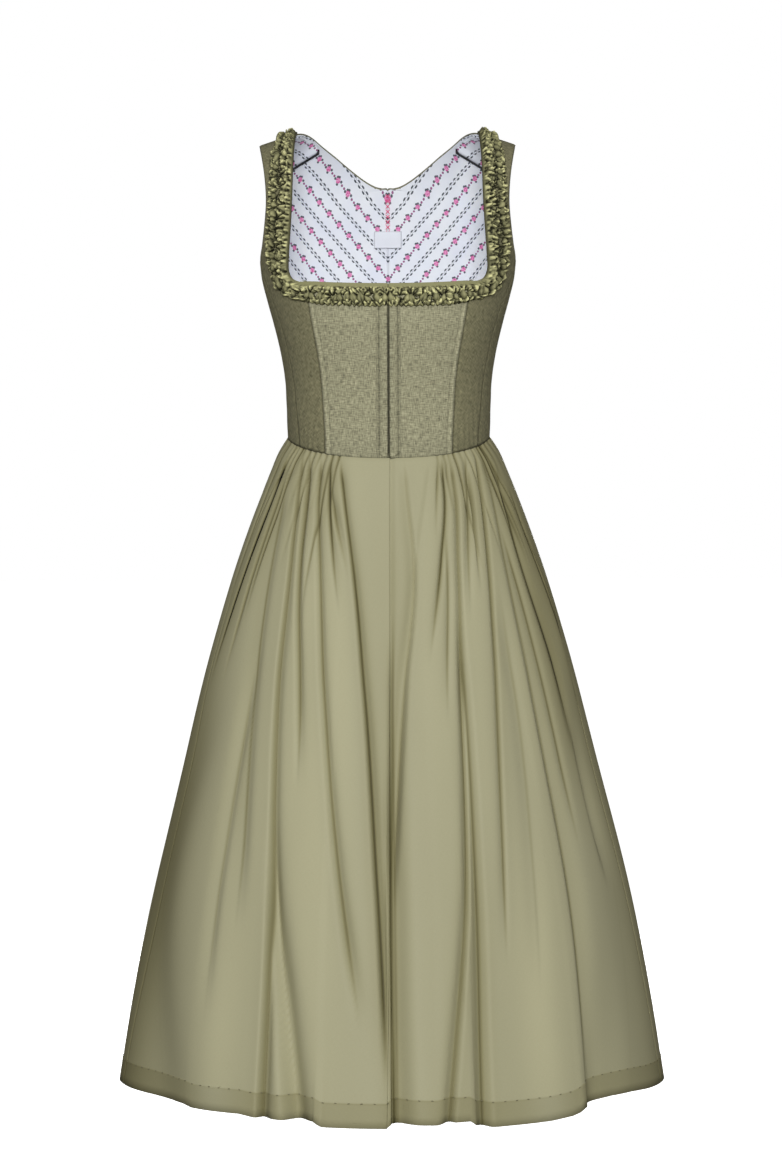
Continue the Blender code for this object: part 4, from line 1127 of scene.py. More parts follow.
# %% Folds behind
FOLDS_BACK = [
    Fold((100.0, 99.5, 98.8, 98.0, 99.0, 101.0), 0.00, 0.80, 5.0, 8.0, 6.0, 6.0, 0.20),
    Fold((112.0, 111.0, 109.8, 109.0, 108.0, 110.0), 0.04, 1.20, 6.0, 14.4, 6.4, 5.2, 0.20),
    Fold((121.0, 121.2, 121.2, 120.0, 121.0, 123.0), 0.00, 0.62, 5.0, 6.4, 5.6, 5.6, 0.20),
    Fold((131.0, 130.5, 130.2, 131.0, 134.0, 136.0), 0.00, 1.20, 6.0, 17.6, 5.2, 6.8, 0.20),
    Fold((142.0, 142.5, 143.3, 145.0, 146.0, 149.0), 0.02, 0.74, 6.0, 8.0, 5.6, 5.6, 0.20),
    Fold((151.0, 152.0, 153.3, 155.0, 158.0, 160.0), 0.00, 1.20, 6.0, 16.0, 6.0, 4.8, 0.20),
    Fold((163.0, 163.5, 164.5, 167.0, 169.0, 172.0), 0.00, 0.90, 6.0, 9.6, 5.6, 5.6, 0.20),
    Fold((176.0, 176.5, 177.3, 179.0, 181.0, 183.0), 0.03, 1.20, 5.0, 16.8, 6.0, 6.0, 0.20),
    Fold((188.0, 188.5, 189.0, 189.0, 191.0, 193.0), 0.00, 0.68, 6.0, 7.2, 5.6, 5.6, 0.20),
    Fold((198.0, 198.5, 199.3, 201.0, 204.0, 206.0), 0.00, 1.20, 6.0, 17.6, 4.8, 6.4, 0.20),
    Fold((211.0, 211.0, 211.2, 212.0, 214.0, 216.0), 0.02, 0.82, 6.0, 8.8, 5.6, 5.6, 0.20),
    Fold((221.0, 221.5, 222.3, 224.0, 226.0, 228.0), 0.00, 1.20, 5.0, 16.0, 6.4, 5.2, 0.20),
    Fold((233.0, 233.0, 233.3, 235.0, 237.0, 238.0), 0.00, 0.58, 5.0, 6.4, 5.6, 5.6, 0.20),
    Fold((244.0, 244.5, 245.5, 248.0, 250.0, 250.0), 0.04, 1.20, 6.0, 13.6, 5.6, 6.0, 0.20),
    Fold((258.0, 258.5, 259.3, 261.0, 262.0, 262.0), 0.00, 0.76, 5.0, 8.0, 6.0, 6.0, 0.20),
]
print("folds behind:", len(FOLDS_BACK))

# %% [markdown]
# ### Broad light and shade on the skirt
# Between its folds a skirt billows, and whole stretches of it turn a little towards the light or away from
# it. Modelling every billow would fight with the folds, so these bands are shade that belongs to the
# cloth: a row says where a band lies, how far it spreads and how dark it is, and a negative shade is a
# light one. The wide hollow down the front, the trough, has its own shade, because it follows the folds on
# either side of it.

# %% Bands of shade
Sway = namedtuple("Sway", "degrees drop spread reach shade")
SWAYS = [
    Sway(-80.0, 0.68, 15.0, 0.42, 0.42),
    Sway(84.0, 0.66, 13.0, 0.50, 0.18),
    Sway(-84.0, 0.22, 9.0, 0.18, -0.10),
    Sway(62.0, 0.40, 5.0, 0.15, 0.20),
    Sway(72.0, 0.20, 15.0, 0.24, 0.32),
    Sway(-41.0, 0.88, 6.5, 0.22, -0.24),
    Sway(35.5, 0.86, 6.0, 0.24, -0.24),
    Sway(-14.0, 0.32, 7.0, 0.30, -0.07),
    Sway(13.0, 0.34, 5.5, 0.22, -0.06),
    Sway(-20.0, 0.66, 8.0, 0.42, -0.11),
    Sway(-30.0, 0.19, 11.0, 0.14, -0.13),
    Sway(-31.0, 0.45, 8.0, 0.18, -0.09),
    Sway(26.0, 0.18, 10.0, 0.14, -0.10),
    Sway(24.0, 0.40, 5.0, 0.20, -0.14),
]
FOLD_WIDENING = 1.0
FOLD_RAMP_IN = 0.04
FOLD_RAMP_IN_LOW = 0.50
FOLD_RAMP_OUT = 0.16
CREASE_WIDTH = 0.0015
CREASE_WIDENING = 0.5
LIP_WIDTH = 3.4
LIP_INNER_WIDTH = 1.6
LIP_GLOW = 0.16
SOFT_SHADE = 0.24
SOFT_WIDTH = 6.5
TROUGH_SHADE = 0.045
TROUGH_BORDER = 1.2
TROUGH_START = 0.22
TROUGH_RIM_SHADE = 0.04
TROUGH_RIM_WIDTH = 2.5
TROUGH_LAP_SHADE = 0.10
TROUGH_LAP_WIDTH = 2.4
print("bands of shade:", len(SWAYS))

# %% [markdown]
# ### Gathers and hem
# Where the skirt is gathered, its fullness is drawn up on a thread, and short folds of uneven depth fan
# out from the waist seam. They are too many to place one by one, so they are drawn at random from a fixed
# seed. The hem is not level either: each fold lifts or drops its edge by a few millimetres, which a table
# of steps gives.

# %% Gathers under the waist seam
GATHER_SEED = 7
GATHER_PITCH_DEGREES = 4.3
GATHER_SCATTER = 1.5
GATHER_FAN = 0.05
GATHER_LEAN = 1.2
GATHER_START = -0.06
GATHER_REACHES = [0.05, 0.08, 0.12, 0.20, 0.28]
GATHER_CHANCES = [0.3, 0.25, 0.2, 0.15, 0.1]
GATHER_DEPTHS = (1.5, 3.6)
GATHER_WIDTHS = (1.6, 2.8)
GATHER_DARKS = (0.14, 0.60)
rng = np.random.default_rng(GATHER_SEED)


def small_gathers(first, last):
    """Short grooves that fan out from the waist seam, at uneven distances, where the skirt is gathered."""
    gathers = []
    for place in np.arange(first, last, GATHER_PITCH_DEGREES):
        here = place + rng.uniform(-GATHER_SCATTER, GATHER_SCATTER)
        from_front = here if here < 180 else here - 360
        lower = here + GATHER_FAN * from_front + rng.uniform(-GATHER_LEAN, GATHER_LEAN)
        line = (here, (here + lower) / 2, lower, lower, lower, lower)
        reach = rng.choice(GATHER_REACHES, p=GATHER_CHANCES)
        depth = rng.uniform(*GATHER_DEPTHS)
        width = rng.uniform(*GATHER_WIDTHS)
        dark = rng.uniform(*GATHER_DARKS)
        gathers.append(Fold(line, GATHER_START, reach, depth, depth, width, width, dark))
    return gathers


GATHERS = small_gathers(60, 300) + small_gathers(24, 60) + small_gathers(-60, -24)
print("small gathers:", len(GATHERS))

# %% Height of the hem
HemPoint = namedtuple("HemPoint", "degrees rise_mm")
HEM_POINTS = [
    HemPoint(*row)
    for row in [
        (-100, 3.0), (-80, 6.5), (-50, 6.5), (-47, 4.5), (-34, 6.5), (-30, 3.8), (-17.6, 3.5),
        (-15.8, -1.5), (-1.5, -1.5), (-0.2, 3.0), (10.5, 1.2), (12.5, 3.5), (17.5, 4.0), (19, -2.0),
        (22, -4.7), (35.5, -4.7), (41, -2.5), (43, 0.0), (44.5, 4.0), (50, 7.0), (55, 8.8), (62, 8.8),
        (70, 6.0), (80, 4.5), (100, 3.0),
    ]
]


def hem_height(angle):
    """The hem is not level: it dips in front and steps up or down from fold to fold."""
    degrees = [point.degrees for point in HEM_POINTS]
    rise = np.interp(signed_degrees(angle), degrees, [point.rise_mm for point in HEM_POINTS]) / 1000
    return HEM_HEIGHT - HEM_DIP * np.cos(angle) + rise


print("hem in front and behind at", hem_height(np.array([0.0, math.pi])).round(4), "m")


# %% Folds pressed into the skirt
def line_angle(line, drop):
    """Angle of a line down the skirt, in radians, at any part of the skirt's length."""
    return np.radians(curve(LEVELS, line, drop))


def skirt_base(angle, drop):
    """Points on the smooth skirt, before the folds are pressed in."""
    half = column(SKIRT_RINGS, "half_width", drop, "drop")
    front = column(SKIRT_RINGS, "front_depth", drop, "drop")
    back = column(SKIRT_RINGS, "back_depth", drop, "drop")
    power = column(SKIRT_RINGS, "power", drop, "drop")
    x = half * np.sign(np.sin(angle)) * np.abs(np.sin(angle)) ** (2 / power)
    y = np.abs(np.cos(angle)) ** (2 / power) * np.where(np.cos(angle) < 0, back, -front)
    height = waist_height(angle) + (hem_height(angle) - waist_height(angle)) * drop
    return np.stack([x, y, height], axis=-1)


def arc_per_radian(surface, angle, level, step=1e-3):
    across = surface(angle + step, level) - surface(angle - step, level)
    return np.linalg.norm(across, axis=-1) / (2 * step)


def fold_reaches(angle, drop, folds):
    """For each fold: the fold, how far the cloth lies to its side in metres, and how strong it is there."""
    arc = arc_per_radian(skirt_base, angle, drop)
    for fold in folds:
        middle = np.radians(curve(FOLD_LEVELS, fold.degrees, drop))
        away = ((angle - middle + math.pi) % (2 * math.pi) - math.pi) * arc
        ramp_in = FOLD_RAMP_IN + FOLD_RAMP_IN_LOW * max(fold.start, 0)
        ramp_out = min(FOLD_RAMP_OUT, fold.end - fold.start)
        ramp = smooth_step((drop - fold.start) / ramp_in) * smooth_step((fold.end - drop) / ramp_out)
        yield fold, away, ramp


def fold_depth(angle, drop, folds):
    """How far in the folds press the cloth."""
    depth = np.zeros(angle.shape)
    for fold, away, ramp in fold_reaches(angle, drop, folds):
        width = np.where(away < 0, fold.left, fold.right) / 1000 * (1 + FOLD_WIDENING * drop)
        depth += bump(away, width) * ramp * (fold.depth_above + (fold.depth_below - fold.depth_above) * drop)
    return depth / 1000


def crease_shade(angle, drop, folds):
    """Painted shade in the bottom of each fold, where two layers touch, and a painted highlight on its lips.
    """
    lit = np.ones(angle.shape)
    for fold, away, ramp in fold_reaches(angle, drop, folds):
        width = CREASE_WIDTH * (1 + CREASE_WIDENING * drop)
        lip = LIP_GLOW * (bump(away, LIP_WIDTH * width) - bump(away, LIP_INNER_WIDTH * width))
        darkness = bump(away, width) - lip + SOFT_SHADE * bump(away, SOFT_WIDTH * width)
        lit *= 1 - fold.dark * ramp * darkness
    return 1 - lit


def sway_shade(angle, drop):
    """Broad bands, darker or lighter, where the cloth turns away from the light or towards it."""
    degrees = signed_degrees(angle)
    return sum(s.shade * bump(degrees - s.degrees, s.spread) * bump(drop - s.drop, s.reach) for s in SWAYS)


def trough_shade(angle, drop):
    """The wide hollow down the front, between the two folds that run together beside the lap."""
    degrees = signed_degrees(angle)
    left = degrees - np.interp(drop, FOLD_LEVELS, FOLDS_LEFT[-1].degrees)
    right = np.interp(drop, FOLD_LEVELS, FOLDS_RIGHT[0].degrees) - degrees
    lap = degrees - np.interp(drop, LEVELS, OPENING_EDGE)
    between = smooth_step(left / TROUGH_BORDER) * smooth_step(right / TROUGH_BORDER)
    inside = between * smooth_step(drop / TROUGH_START)
    rim = TROUGH_RIM_SHADE * bump(left, TROUGH_RIM_WIDTH)
    beside_lap = np.where(lap > 0, bump(lap, TROUGH_LAP_WIDTH), 0)
    return inside * (TROUGH_SHADE + rim + TROUGH_LAP_SHADE * beside_lap)


def skirt_surface(folds, tuck=None):
    """The skirt with its folds pressed in along the level normal; tuck adds an inward move of its own."""

    def surface(angle, drop):
        angle, drop = np.broadcast_arrays(np.asarray(angle, float), np.asarray(drop, float))
        out = np.stack([np.sin(angle), -np.cos(angle), np.zeros_like(angle)], axis=-1)
        depth = fold_depth(angle, drop, folds)
        if tuck is not None:
            depth = depth + tuck(angle, drop)
        return skirt_base(angle, drop) - out * depth[..., None]

    return surface


ALL_FOLDS = FOLDS_LEFT + FOLDS_CENTRE + FOLDS_RIGHT + FOLDS_BACK + GATHERS
print("folds and gathers:", len(ALL_FOLDS))

# %% [markdown]
# ## The skirt panels
# The left front laps over the right one, and the pocket is a gap left in the right side seam. The cloth's
# top edge tucks up behind the bodice as a seam allowance, so no light shows through the waist seam. The
# hem is turned up once and blind-stitched, which leaves a faint step.

# %% Lap and pocket
SKIRT_WALL = 0.0012
LAP_WIDTH = 0.012
LAP_CLEARANCE = 0.0024
LAP_BLEND = 0.008
POCKET_TOP = 0.12
POCKET_END = 0.43
POCKET_BULGE = 0.004
POCKET_BULGE_WIDTH = 0.030


def lap_tuck(angle, drop):
    """Presses the right front's edge in, so that the left front lies over it."""
    past = (angle - line_angle(OPENING_EDGE, drop)) * arc_per_radian(skirt_base, angle, drop)
    return LAP_CLEARANCE * smooth_step(1 - past / LAP_BLEND)


def pocket_bulge(angle, drop):
    """Lets the right front's side edge stand out at the mouth of the pocket."""
    before = (line_angle(SKIRT_SIDE_SEAM, drop) - angle) * arc_per_radian(skirt_base, angle, drop)
    part = np.clip((drop - POCKET_TOP) / (POCKET_END - POCKET_TOP), 0, 1)
    return -POCKET_BULGE * np.sin(math.pi * part) ** 2 * smooth_step(1 - before / POCKET_BULGE_WIDTH)


def skirt_angle(x, drop):
    """Angle round from centre front at which the smooth skirt lies x from the middle."""
    half = column(SKIRT_RINGS, "half_width", drop, "drop")
    power = column(SKIRT_RINGS, "power", drop, "drop")
    return np.sign(x) * np.arcsin(np.clip(np.abs(x) / half, 0, 1) ** (power / 2))


def opening_line(drop):
    return line_angle(OPENING_EDGE, drop)


def lap_line(drop):
    edge_x = skirt_base(opening_line(drop), drop)[..., 0]
    return skirt_angle(edge_x - LAP_WIDTH, drop)


def right_side_line(drop):
    return line_angle(SKIRT_SIDE_SEAM, drop)


def left_side_line(drop):
    return -right_side_line(drop)


def left_side_line_from_behind(drop):
    return 2 * math.pi - right_side_line(drop)


def centre_back_line(drop):
    return np.full_like(drop, math.pi)


print("pocket mouth:", round(POCKET_TOP, 2), "to", round(POCKET_END, 2), "of the skirt's length")

# %% Rows and columns of the skirt
ALLOWANCE = 0.0075
HEM_BAND = 0.028
SKIRT_LENGTH = 0.80
SKIRT_ROWS = 120
EVEN_SHARE = 0.62
CROWDING_POWER = 2.2
HEM_STEP_ROWS = np.array([-0.002, -0.0008, 0.0, 0.0008, 0.002])
FRONT_COLUMNS = 296
BACK_COLUMNS = 150
FINE_STEPS = 6
CROWD_WIDTH = 0.006
CROWD = 2.6
BROAD_FOLD = 14


def skirt_drops():
    """Rows from the seam allowance to the hem, closer together near the waist and at the step of the hem."""
    share = np.linspace(0, 1, SKIRT_ROWS - len(HEM_STEP_ROWS) - 2)
    visible = EVEN_SHARE * share + (1 - EVEN_SHARE) * share**CROWDING_POWER
    step = 1 - (HEM_BAND + HEM_STEP_ROWS) / SKIRT_LENGTH
    return np.sort(np.concatenate([[-ALLOWANCE, -ALLOWANCE / 3], visible, step]))


def crowded_angles(first, last, drop, folds, columns):
    """Angles of one row of the skirt, closer together where narrow folds are pressed in."""
    fine = np.linspace(first, last, FINE_STEPS * columns)
    level = np.full(fine.shape, drop)
    weight = np.ones(fine.shape)
    for fold, away, ramp in fold_reaches(fine, level, folds):
        if fold.left + fold.right < BROAD_FOLD:
            weight += CROWD * ramp * bump(away, CROWD_WIDTH * (1 + drop) / 2)
    run = np.concatenate([[0], np.cumsum((weight[1:] + weight[:-1]) / 2)])
    return np.interp(np.linspace(0, run[-1], columns), run, fine)


print("rows of the skirt:", len(skirt_drops()))

# %% Skirt panels
ALLOWANCE_TUCK = 0.0030
SKIRT_SEAM_DEPTH = 0.0002
SKIRT_SEAM_WIDTH = 0.0016
SKIRT_SEAM_SHADE = 0.20
HEM_STEP = 0.0005
HEM_STEP_WIDTH = 0.0016
HEM_SHADE = 0.20
HEM_LINE_WIDTH = 0.0012
HEM_LINE_SHADE = 0.10


def skirt_patch(first, last, columns, tuck=None, seams=(True, True)):
    """Points, UVs and shade of one width of the skirt, between two lines down it."""
    surface = skirt_surface(ALL_FOLDS, tuck)
    drop = skirt_drops()
    rows = zip(first(drop), last(drop), drop)
    angle = np.array([crowded_angles(*ends, ALL_FOLDS, columns) for ends in rows])
    level = np.broadcast_to(drop[:, None], angle.shape)
    points = surface(angle, level)
    normal = -normals(surface, angle, level)
    run = distances(points, 1)
    lift = -ALLOWANCE_TUCK * smooth_step(-level / (ALLOWANCE / 3))
    seam = np.zeros(angle.shape)
    for sewn, away in zip(seams, (run, run[:, -1:] - run)):
        if sewn:
            lift = lift - SKIRT_SEAM_DEPTH * bump(away, SKIRT_SEAM_WIDTH)
            seam = np.maximum(seam, SKIRT_SEAM_SHADE * bump(away, SKIRT_SEAM_WIDTH))
    below = (level - 1) * SKIRT_LENGTH + HEM_BAND
    hem = smooth_step(below / HEM_STEP_WIDTH + 0.5)
    lift = lift + HEM_STEP * hem
    points = points + normal * lift[..., None]
    shade = 1 - (1 - crease_shade(angle, level, ALL_FOLDS)) * (1 - HEM_SHADE * hem)
    shade = shade + HEM_LINE_SHADE * bump(below, HEM_LINE_WIDTH) + seam
    shade = shade + sway_shade(angle, level) + trough_shade(angle, level)
    middle = run - run[:, -1:] / 2
    return points, np.stack([middle, -level * SKIRT_LENGTH], axis=-1), shade


def under_lap(angle, drop):
    return lap_tuck(angle, drop) + pocket_bulge(angle, drop)


SKIRT_PATCHES = {
    "front_left": skirt_patch(left_side_line, opening_line, FRONT_COLUMNS, seams=(True, False)),
    "front_right": skirt_patch(lap_line, right_side_line, FRONT_COLUMNS, under_lap, seams=(False, True)),
    "back_right": skirt_patch(right_side_line, centre_back_line, BACK_COLUMNS),
    "back_left": skirt_patch(centre_back_line, left_side_line_from_behind, BACK_COLUMNS),
}
for place, patch in SKIRT_PATCHES.items():
    piece = cloth_piece("skirt_panel_" + place, [patch], [SKIRT_CLOTH], SKIRT_WALL)
    finish_piece(piece, "skirt_" + place, "gathered")

# %% [markdown]
# ### Back lining
# Above the front neckline one looks into the dress and sees the lining of the back. It is cut like the
# back and the side back, but in one piece, and it lies just inside them. It could be the second material
# of the back's own wall. As a sheet of its own it can show a clear edge and its own painted shade, lighter
# towards the sides.

# %% Back lining
LINING_DEPTH = BODICE_WALL + 0.0010
LINING_WALL = 0.0012
LINING_ROWS = 110
LINING_UNDERARM_ROWS = 70
LINING_COLUMNS = 30
NECK_EDGE_SHOWN = 0.0012
LINING_SHADE = 0.04
LINING_SIDE_GLOW = 0.14
LINING_SIDE_AT = 0.084
LINING_SIDE_FADE = 0.022


def lining_patch(grid, side):
    angle, climb = grid
    points = bodice(angle, climb) - normals(bodice, angle, climb) * LINING_DEPTH
    round_body = arc_from(bodice, math.pi, angle, climb)
    toward_side = smooth_step((np.abs(points[..., 0]) - LINING_SIDE_AT) / LINING_SIDE_FADE)
    shade = LINING_SHADE - LINING_SIDE_GLOW * toward_side
    points[..., 0] *= side
    return points, np.stack([side * round_body, climb], axis=-1), shade


def back_lining(side):
    neck, arm = back_edges()
    climb = neck[1].copy()
    climb[len(LOWER_ROWS) + PRINCESS_UPPER_ROWS :] -= NECK_EDGE_SHOWN
    back = panel_grid((neck[0], climb), arm, LINING_ROWS, LINING_COLUMNS)
    under = side_back_grid(back_princess_edge(), side_seam_edge(), LINING_UNDERARM_ROWS, LINING_COLUMNS)
    patches = [lining_patch(grid, side) for grid in (back, under)]
    return cloth_piece(side_name("lining", side), patches, [PRINT_CLOTH], LINING_WALL)


make_pair(back_lining, "back_lining")

# %% [markdown]
# ## Rows of small shapes
# Edge folds, stitches and crosses all repeat along a path. One node tree serves them all. Its guide is a
# mesh of edges, whose points carry the direction out of the cloth and along the path. The tree turns the
# guide into curves, spaces points evenly on them, puts one of a few shapes on each point, turned and sized
# a little at random, and makes the instances real.

# %% Tree for rows
TreeInput = namedtuple("TreeInput", "name kind value")
TREE_INPUTS = [TreeInput("Pitch", "NodeSocketFloat", 0.01), TreeInput("Seed", "NodeSocketInt", 1)]
TREE_INPUTS += [TreeInput(part + " Spread", "NodeSocketFloat", 0.0) for part in ("Turn", "Tilt", "Size")]
TURN_SALT, TILT_SALT, ROLL_SALT, SIZE_SALT, SHAPE_SALT = range(5)


def rows_tree(name, shapes, material):
    """A node tree that sets shapes along the curves of its guide."""
    tree = bpy.data.node_groups.new(name, "GeometryNodeTree")
    tree.interface.new_socket(name="Guide", in_out="INPUT", socket_type="NodeSocketGeometry")
    for row in TREE_INPUTS:
        socket = tree.interface.new_socket(name=row.name, in_out="INPUT", socket_type=row.kind)
        socket.default_value = row.value
    tree.interface.new_socket(name="Rows", in_out="OUTPUT", socket_type="NodeSocketGeometry")

    def add(kind, inputs, **settings):
        return add_node(tree, kind, inputs, **settings).outputs

    def direction(attribute):
        inputs = {"Name": attribute}
        return add("GeometryNodeInputNamedAttribute", inputs, data_type="FLOAT_VECTOR")["Attribute"]

    def random(kind, low, high, salt):
        """A number of its own for every shape, drawn with the tree's seed and a salt."""
        seed = add("FunctionNodeIntegerMath", {0: given["Seed"], 1: salt}, operation="ADD")[0]
        draw = add_node(tree, "FunctionNodeRandomValue", {"Seed": seed}, data_type=kind)
        enabled = {socket.name: socket for socket in draw.inputs if socket.enabled}
        enabled["Min"].default_value = low
        enabled["Max"].default_value = high
        return [socket for socket in draw.outputs if socket.enabled][0]

    def spread(amount, salt):
        return Value(given[amount]) * Value(random("FLOAT", -1.0, 1.0, salt))

    given = add("NodeGroupInput", {})
    path = add("GeometryNodeMeshToCurve", {"Mesh": given["Guide"]})["Curve"]
    spacing = {"Curve": path, "Length": given["Pitch"]}
    spaced = add("GeometryNodeResampleCurve", spacing, mode="LENGTH")["Curve"]
    all_shapes = add_node(tree, "GeometryNodeJoinGeometry", {})
    for shape in shapes:
        info = add("GeometryNodeObjectInfo", {"Object": shape, "As Instance": True})
        tree.links.new(info["Geometry"], all_shapes.inputs["Geometry"])

    axes = {"Primary Axis": direction("out"), "Secondary Axis": direction("along")}
    upright = add("FunctionNodeAxesToRotation", axes, primary_axis="Z", secondary_axis="X")[0]
    tilt = spread("Tilt Spread", TILT_SALT)
    roll = spread("Tilt Spread", ROLL_SALT)
    turn = spread("Turn Spread", TURN_SALT)
    angles = add("ShaderNodeCombineXYZ", {"X": tilt, "Y": roll, "Z": turn})[0]
    small_turn = add("FunctionNodeEulerToRotation", {0: angles})[0]
    turns = {"Rotation": upright, "Rotate By": small_turn}
    turned = add("FunctionNodeRotateRotation", turns, rotation_space="LOCAL")[0]
    settings = {
        "Points": spaced,
        "Instance": all_shapes.outputs["Geometry"],
        "Pick Instance": True,
        "Instance Index": random("INT", 0, len(shapes) - 1, SHAPE_SALT),
        "Rotation": turned,
        "Scale": spread("Size Spread", SIZE_SALT) + 1.0,
    }
    placed_shapes = add("GeometryNodeInstanceOnPoints", settings)["Instances"]
    real = add("GeometryNodeRealizeInstances", {"Geometry": placed_shapes})["Geometry"]
    finished = add("GeometryNodeSetMaterial", {"Geometry": real, "Material": material})["Geometry"]
    add_node(tree, "NodeGroupOutput", {"Rows": finished})
    return tree


print("inputs of a rows tree:", [row.name for row in TREE_INPUTS])

# %% Guides and rows
Row = namedtuple("Row", "points out along")


def guide_mesh(name, rows):
    """Edges along each row, with the directions that the tree reads."""
    points = np.concatenate([row.points for row in rows])
    edges = []
    start = 0
    for row in rows:
        edges += [(start + i, start + i + 1) for i in range(len(row.points) - 1)]
        start += len(row.points)
    mesh = bpy.data.meshes.new(name)
    mesh.from_pydata([tuple(p) for p in points], edges, [])
    for key in ("out", "along"):
        layer = mesh.attributes.new(key, "FLOAT_VECTOR", "POINT")
        values = np.concatenate([getattr(row, key) for row in rows])
        layer.data.foreach_set("vector", values.astype(np.float32).ravel())
    return mesh


def rows_mesh(name, tree, rows, **settings):
    """Runs the tree over the rows and returns what it made as a plain mesh."""
    guide = placed(name + "_guide", guide_mesh(name + "_guide", rows))
    modifier = guide.modifiers.new("rows", "NODES")
    modifier.node_group = tree
    for item in tree.interface.items_tree:
        key = item.name.lower().replace(" ", "_")
        if item.in_out == "INPUT" and key in settings:
            modifier[item.identifier] = settings[key]
    graph = bpy.context.evaluated_depsgraph_get()
    mesh = bpy.data.meshes.new_from_object(guide.evaluated_get(graph))
    mesh.name = name
    mesh.shade_smooth()
    bpy.data.objects.remove(guide)
    return mesh


def row_on(surface, a, b, lift=0.0, mirror=1):
    """A row on a surface, through the places (a, b), lifted off it."""
    out = normals(surface, a, b)
    flip = np.array([mirror, 1, 1])
    points = (surface(a, b) + out * lift) * flip
    return Row(points, out * flip, unit(np.gradient(points, axis=0)))


def sewn_rows(name, tree, rows, slot, **settings):
    """Rows of small shapes as a finished piece."""
    piece = placed(name, rows_mesh(name, tree, rows, **settings))
    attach(piece, "root")
    print(name, "faces:", len(piece.data.polygons))


print("row helpers ready")

# %% [markdown]
# ## The ruched trim
# This trim is a strip of cloth that is pinched along its middle at even steps, so that both halves open in
# small puffed folds. Folding one strip by hand would need thousands of creases. Here a fine grid follows
# the neck edge, and its height and its painted light and shade come from two patterns: small flat faces
# that spread from each pinch, and short sharp slits between them. The slits are painted as dark as real
# ones, because so little light reaches their bottoms.

# %% Neck path
TRIM_CORNER_AT = 0.122
TRIM_CORNER_SPAN = 0.026
TRIM_CORNER_PINCH = 0.26
TRIM_BAND = 0.0272
TRIM_PLAIN_FRONT = 0.0034
TRIM_PLAIN_STRAP = 0.0004
TRIM_MIDDLE = 0.0165
TRIM_PAST_RIDGE = 0.008
PATH_STEP = 0.0008


def neck_path():
    """The neck edge from centre front to just past the shoulder ridge: x, climb and length at even steps."""
    centre, princess = front_edges()
    share = np.linspace(0, 1, 4)
    angle = centre[0][-1] + (princess[0][-1] - centre[0][-1]) * share
    x = bodice(angle, np.full(4, NECK_FRONT_HEIGHT))[:, 0]
    climb = NECK_FRONT_HEIGHT + NECK_FRONT_RISE * (x / NECK_FRONT_RISE_AT) ** 2
    (neck, neck_climb), _ = strap_edges(FRONT_STRAP)
    strap_x = bodice(neck, neck_climb)[1:, 0]
    past = TRIM_PAST_RIDGE * np.array([0.5, 1.0])
    x = np.concatenate([x, strap_x, np.full(2, strap_x[-1])])
    climb = np.concatenate([climb, neck_climb[1:], RIDGE + past])
    x[0] = 0.0
    length = np.concatenate([[0], np.cumsum(np.hypot(np.diff(x), np.diff(climb)))])
    at = np.arange(0, length[-1], PATH_STEP)
    return curve(length, x, at), curve(length, climb, at), at


NECK_X, NECK_CLIMB, NECK_LENGTH = neck_path()


def trim_line(across):
    """Angle and climb of the line that runs at a distance from the neck edge, which may vary along it."""
    along_x = np.gradient(NECK_X, NECK_LENGTH)
    along_climb = np.gradient(NECK_CLIMB, NECK_LENGTH)
    size = np.hypot(along_x, along_climb)
    pinch = 1 - TRIM_CORNER_PINCH * bump(NECK_LENGTH - TRIM_CORNER_AT, TRIM_CORNER_SPAN)
    x = NECK_X + along_climb / size * across * pinch
    climb = NECK_CLIMB - along_x / size * across * pinch
    x = np.maximum(x, SEAM_GAP)
    return bodice_angle(x, climb), climb


print("neck edge, one side:", round(float(NECK_LENGTH[-1]), 3), "m")

# %% Trim cloth
TRIM_COLOUR = (0.510, 0.497, 0.255)
TRIM_GRAIN = 900
TRIM_GRAIN_CONTRAST = 0.5
TRIM_RELIEF = 0.0002
TRIM_BRIGHTNESS = 1.04
TRIM_DARKEST = 0.008


def trim_cloth():
    """Cloth whose brightness is an attribute, because the trim's folds are finer than shadows can show."""
    recipe = Recipe("ruched_trim", roughness=0.75, sheen=0.0, specular=0.15)
    # The attribute high holds painted light and shade, not a height.
    high = recipe.attribute("high")
    cut = recipe.cut()
    threads = recipe.noise(cut, TRIM_GRAIN, TRIM_GRAIN)
    tone = (high * TRIM_BRIGHTNESS + TRIM_DARKEST) * ((threads - 0.5) * TRIM_GRAIN_CONTRAST + 1)
    recipe.paint(recipe.shade(recipe.colour(TRIM_COLOUR), tone))
    recipe.bump(threads, TRIM_RELIEF)
    return recipe.material


# Writes painted light and shade into the attribute high.
def set_brightness(mesh, bright):
    layer = mesh.attributes.new("high", "FLOAT", "POINT")
    layer.data.foreach_set("value", bright.astype(np.float32).ravel())


TRIM_CLOTH = trim_cloth()
print("trim cloth:", TRIM_CLOTH.name)

# %% [markdown]
# ### Edge folds
# Along the outer edge of the trim, the cloth opens in separate small folds that overlap like scales. Five
# shapes, each a low tent with a crease of its own, are enough: turned, tilted and sized at random, no two
# look alike. Each has only a few dozen faces, because the row repeats them about fifty times on either
# side.

# %% Shapes of the edge folds
SCALE_LENGTH = 0.0100
SCALE_HALF_WIDTH = 0.0048
SCALE_HEIGHT = 0.0042
SCALE_OUT = np.array([0.0, 0.18, 0.36, 0.56, 0.76, 0.92, 1.0, 0.97])
SCALE_SIDE = np.array([-1.0, -0.80, -0.45, 0.0, 0.45, 0.80, 1.0])
SCALE_ROOT = 0.25
SCALE_FULL_AT = 0.62
SCALE_ROUNDING = 0.14
SCALE_CROWN_AT = 0.6
SCALE_CREASE_WIDTH = 0.30
SCALE_TIP_UNDER = 0.0004
SCALE_SIDE_UNDER = 0.0006


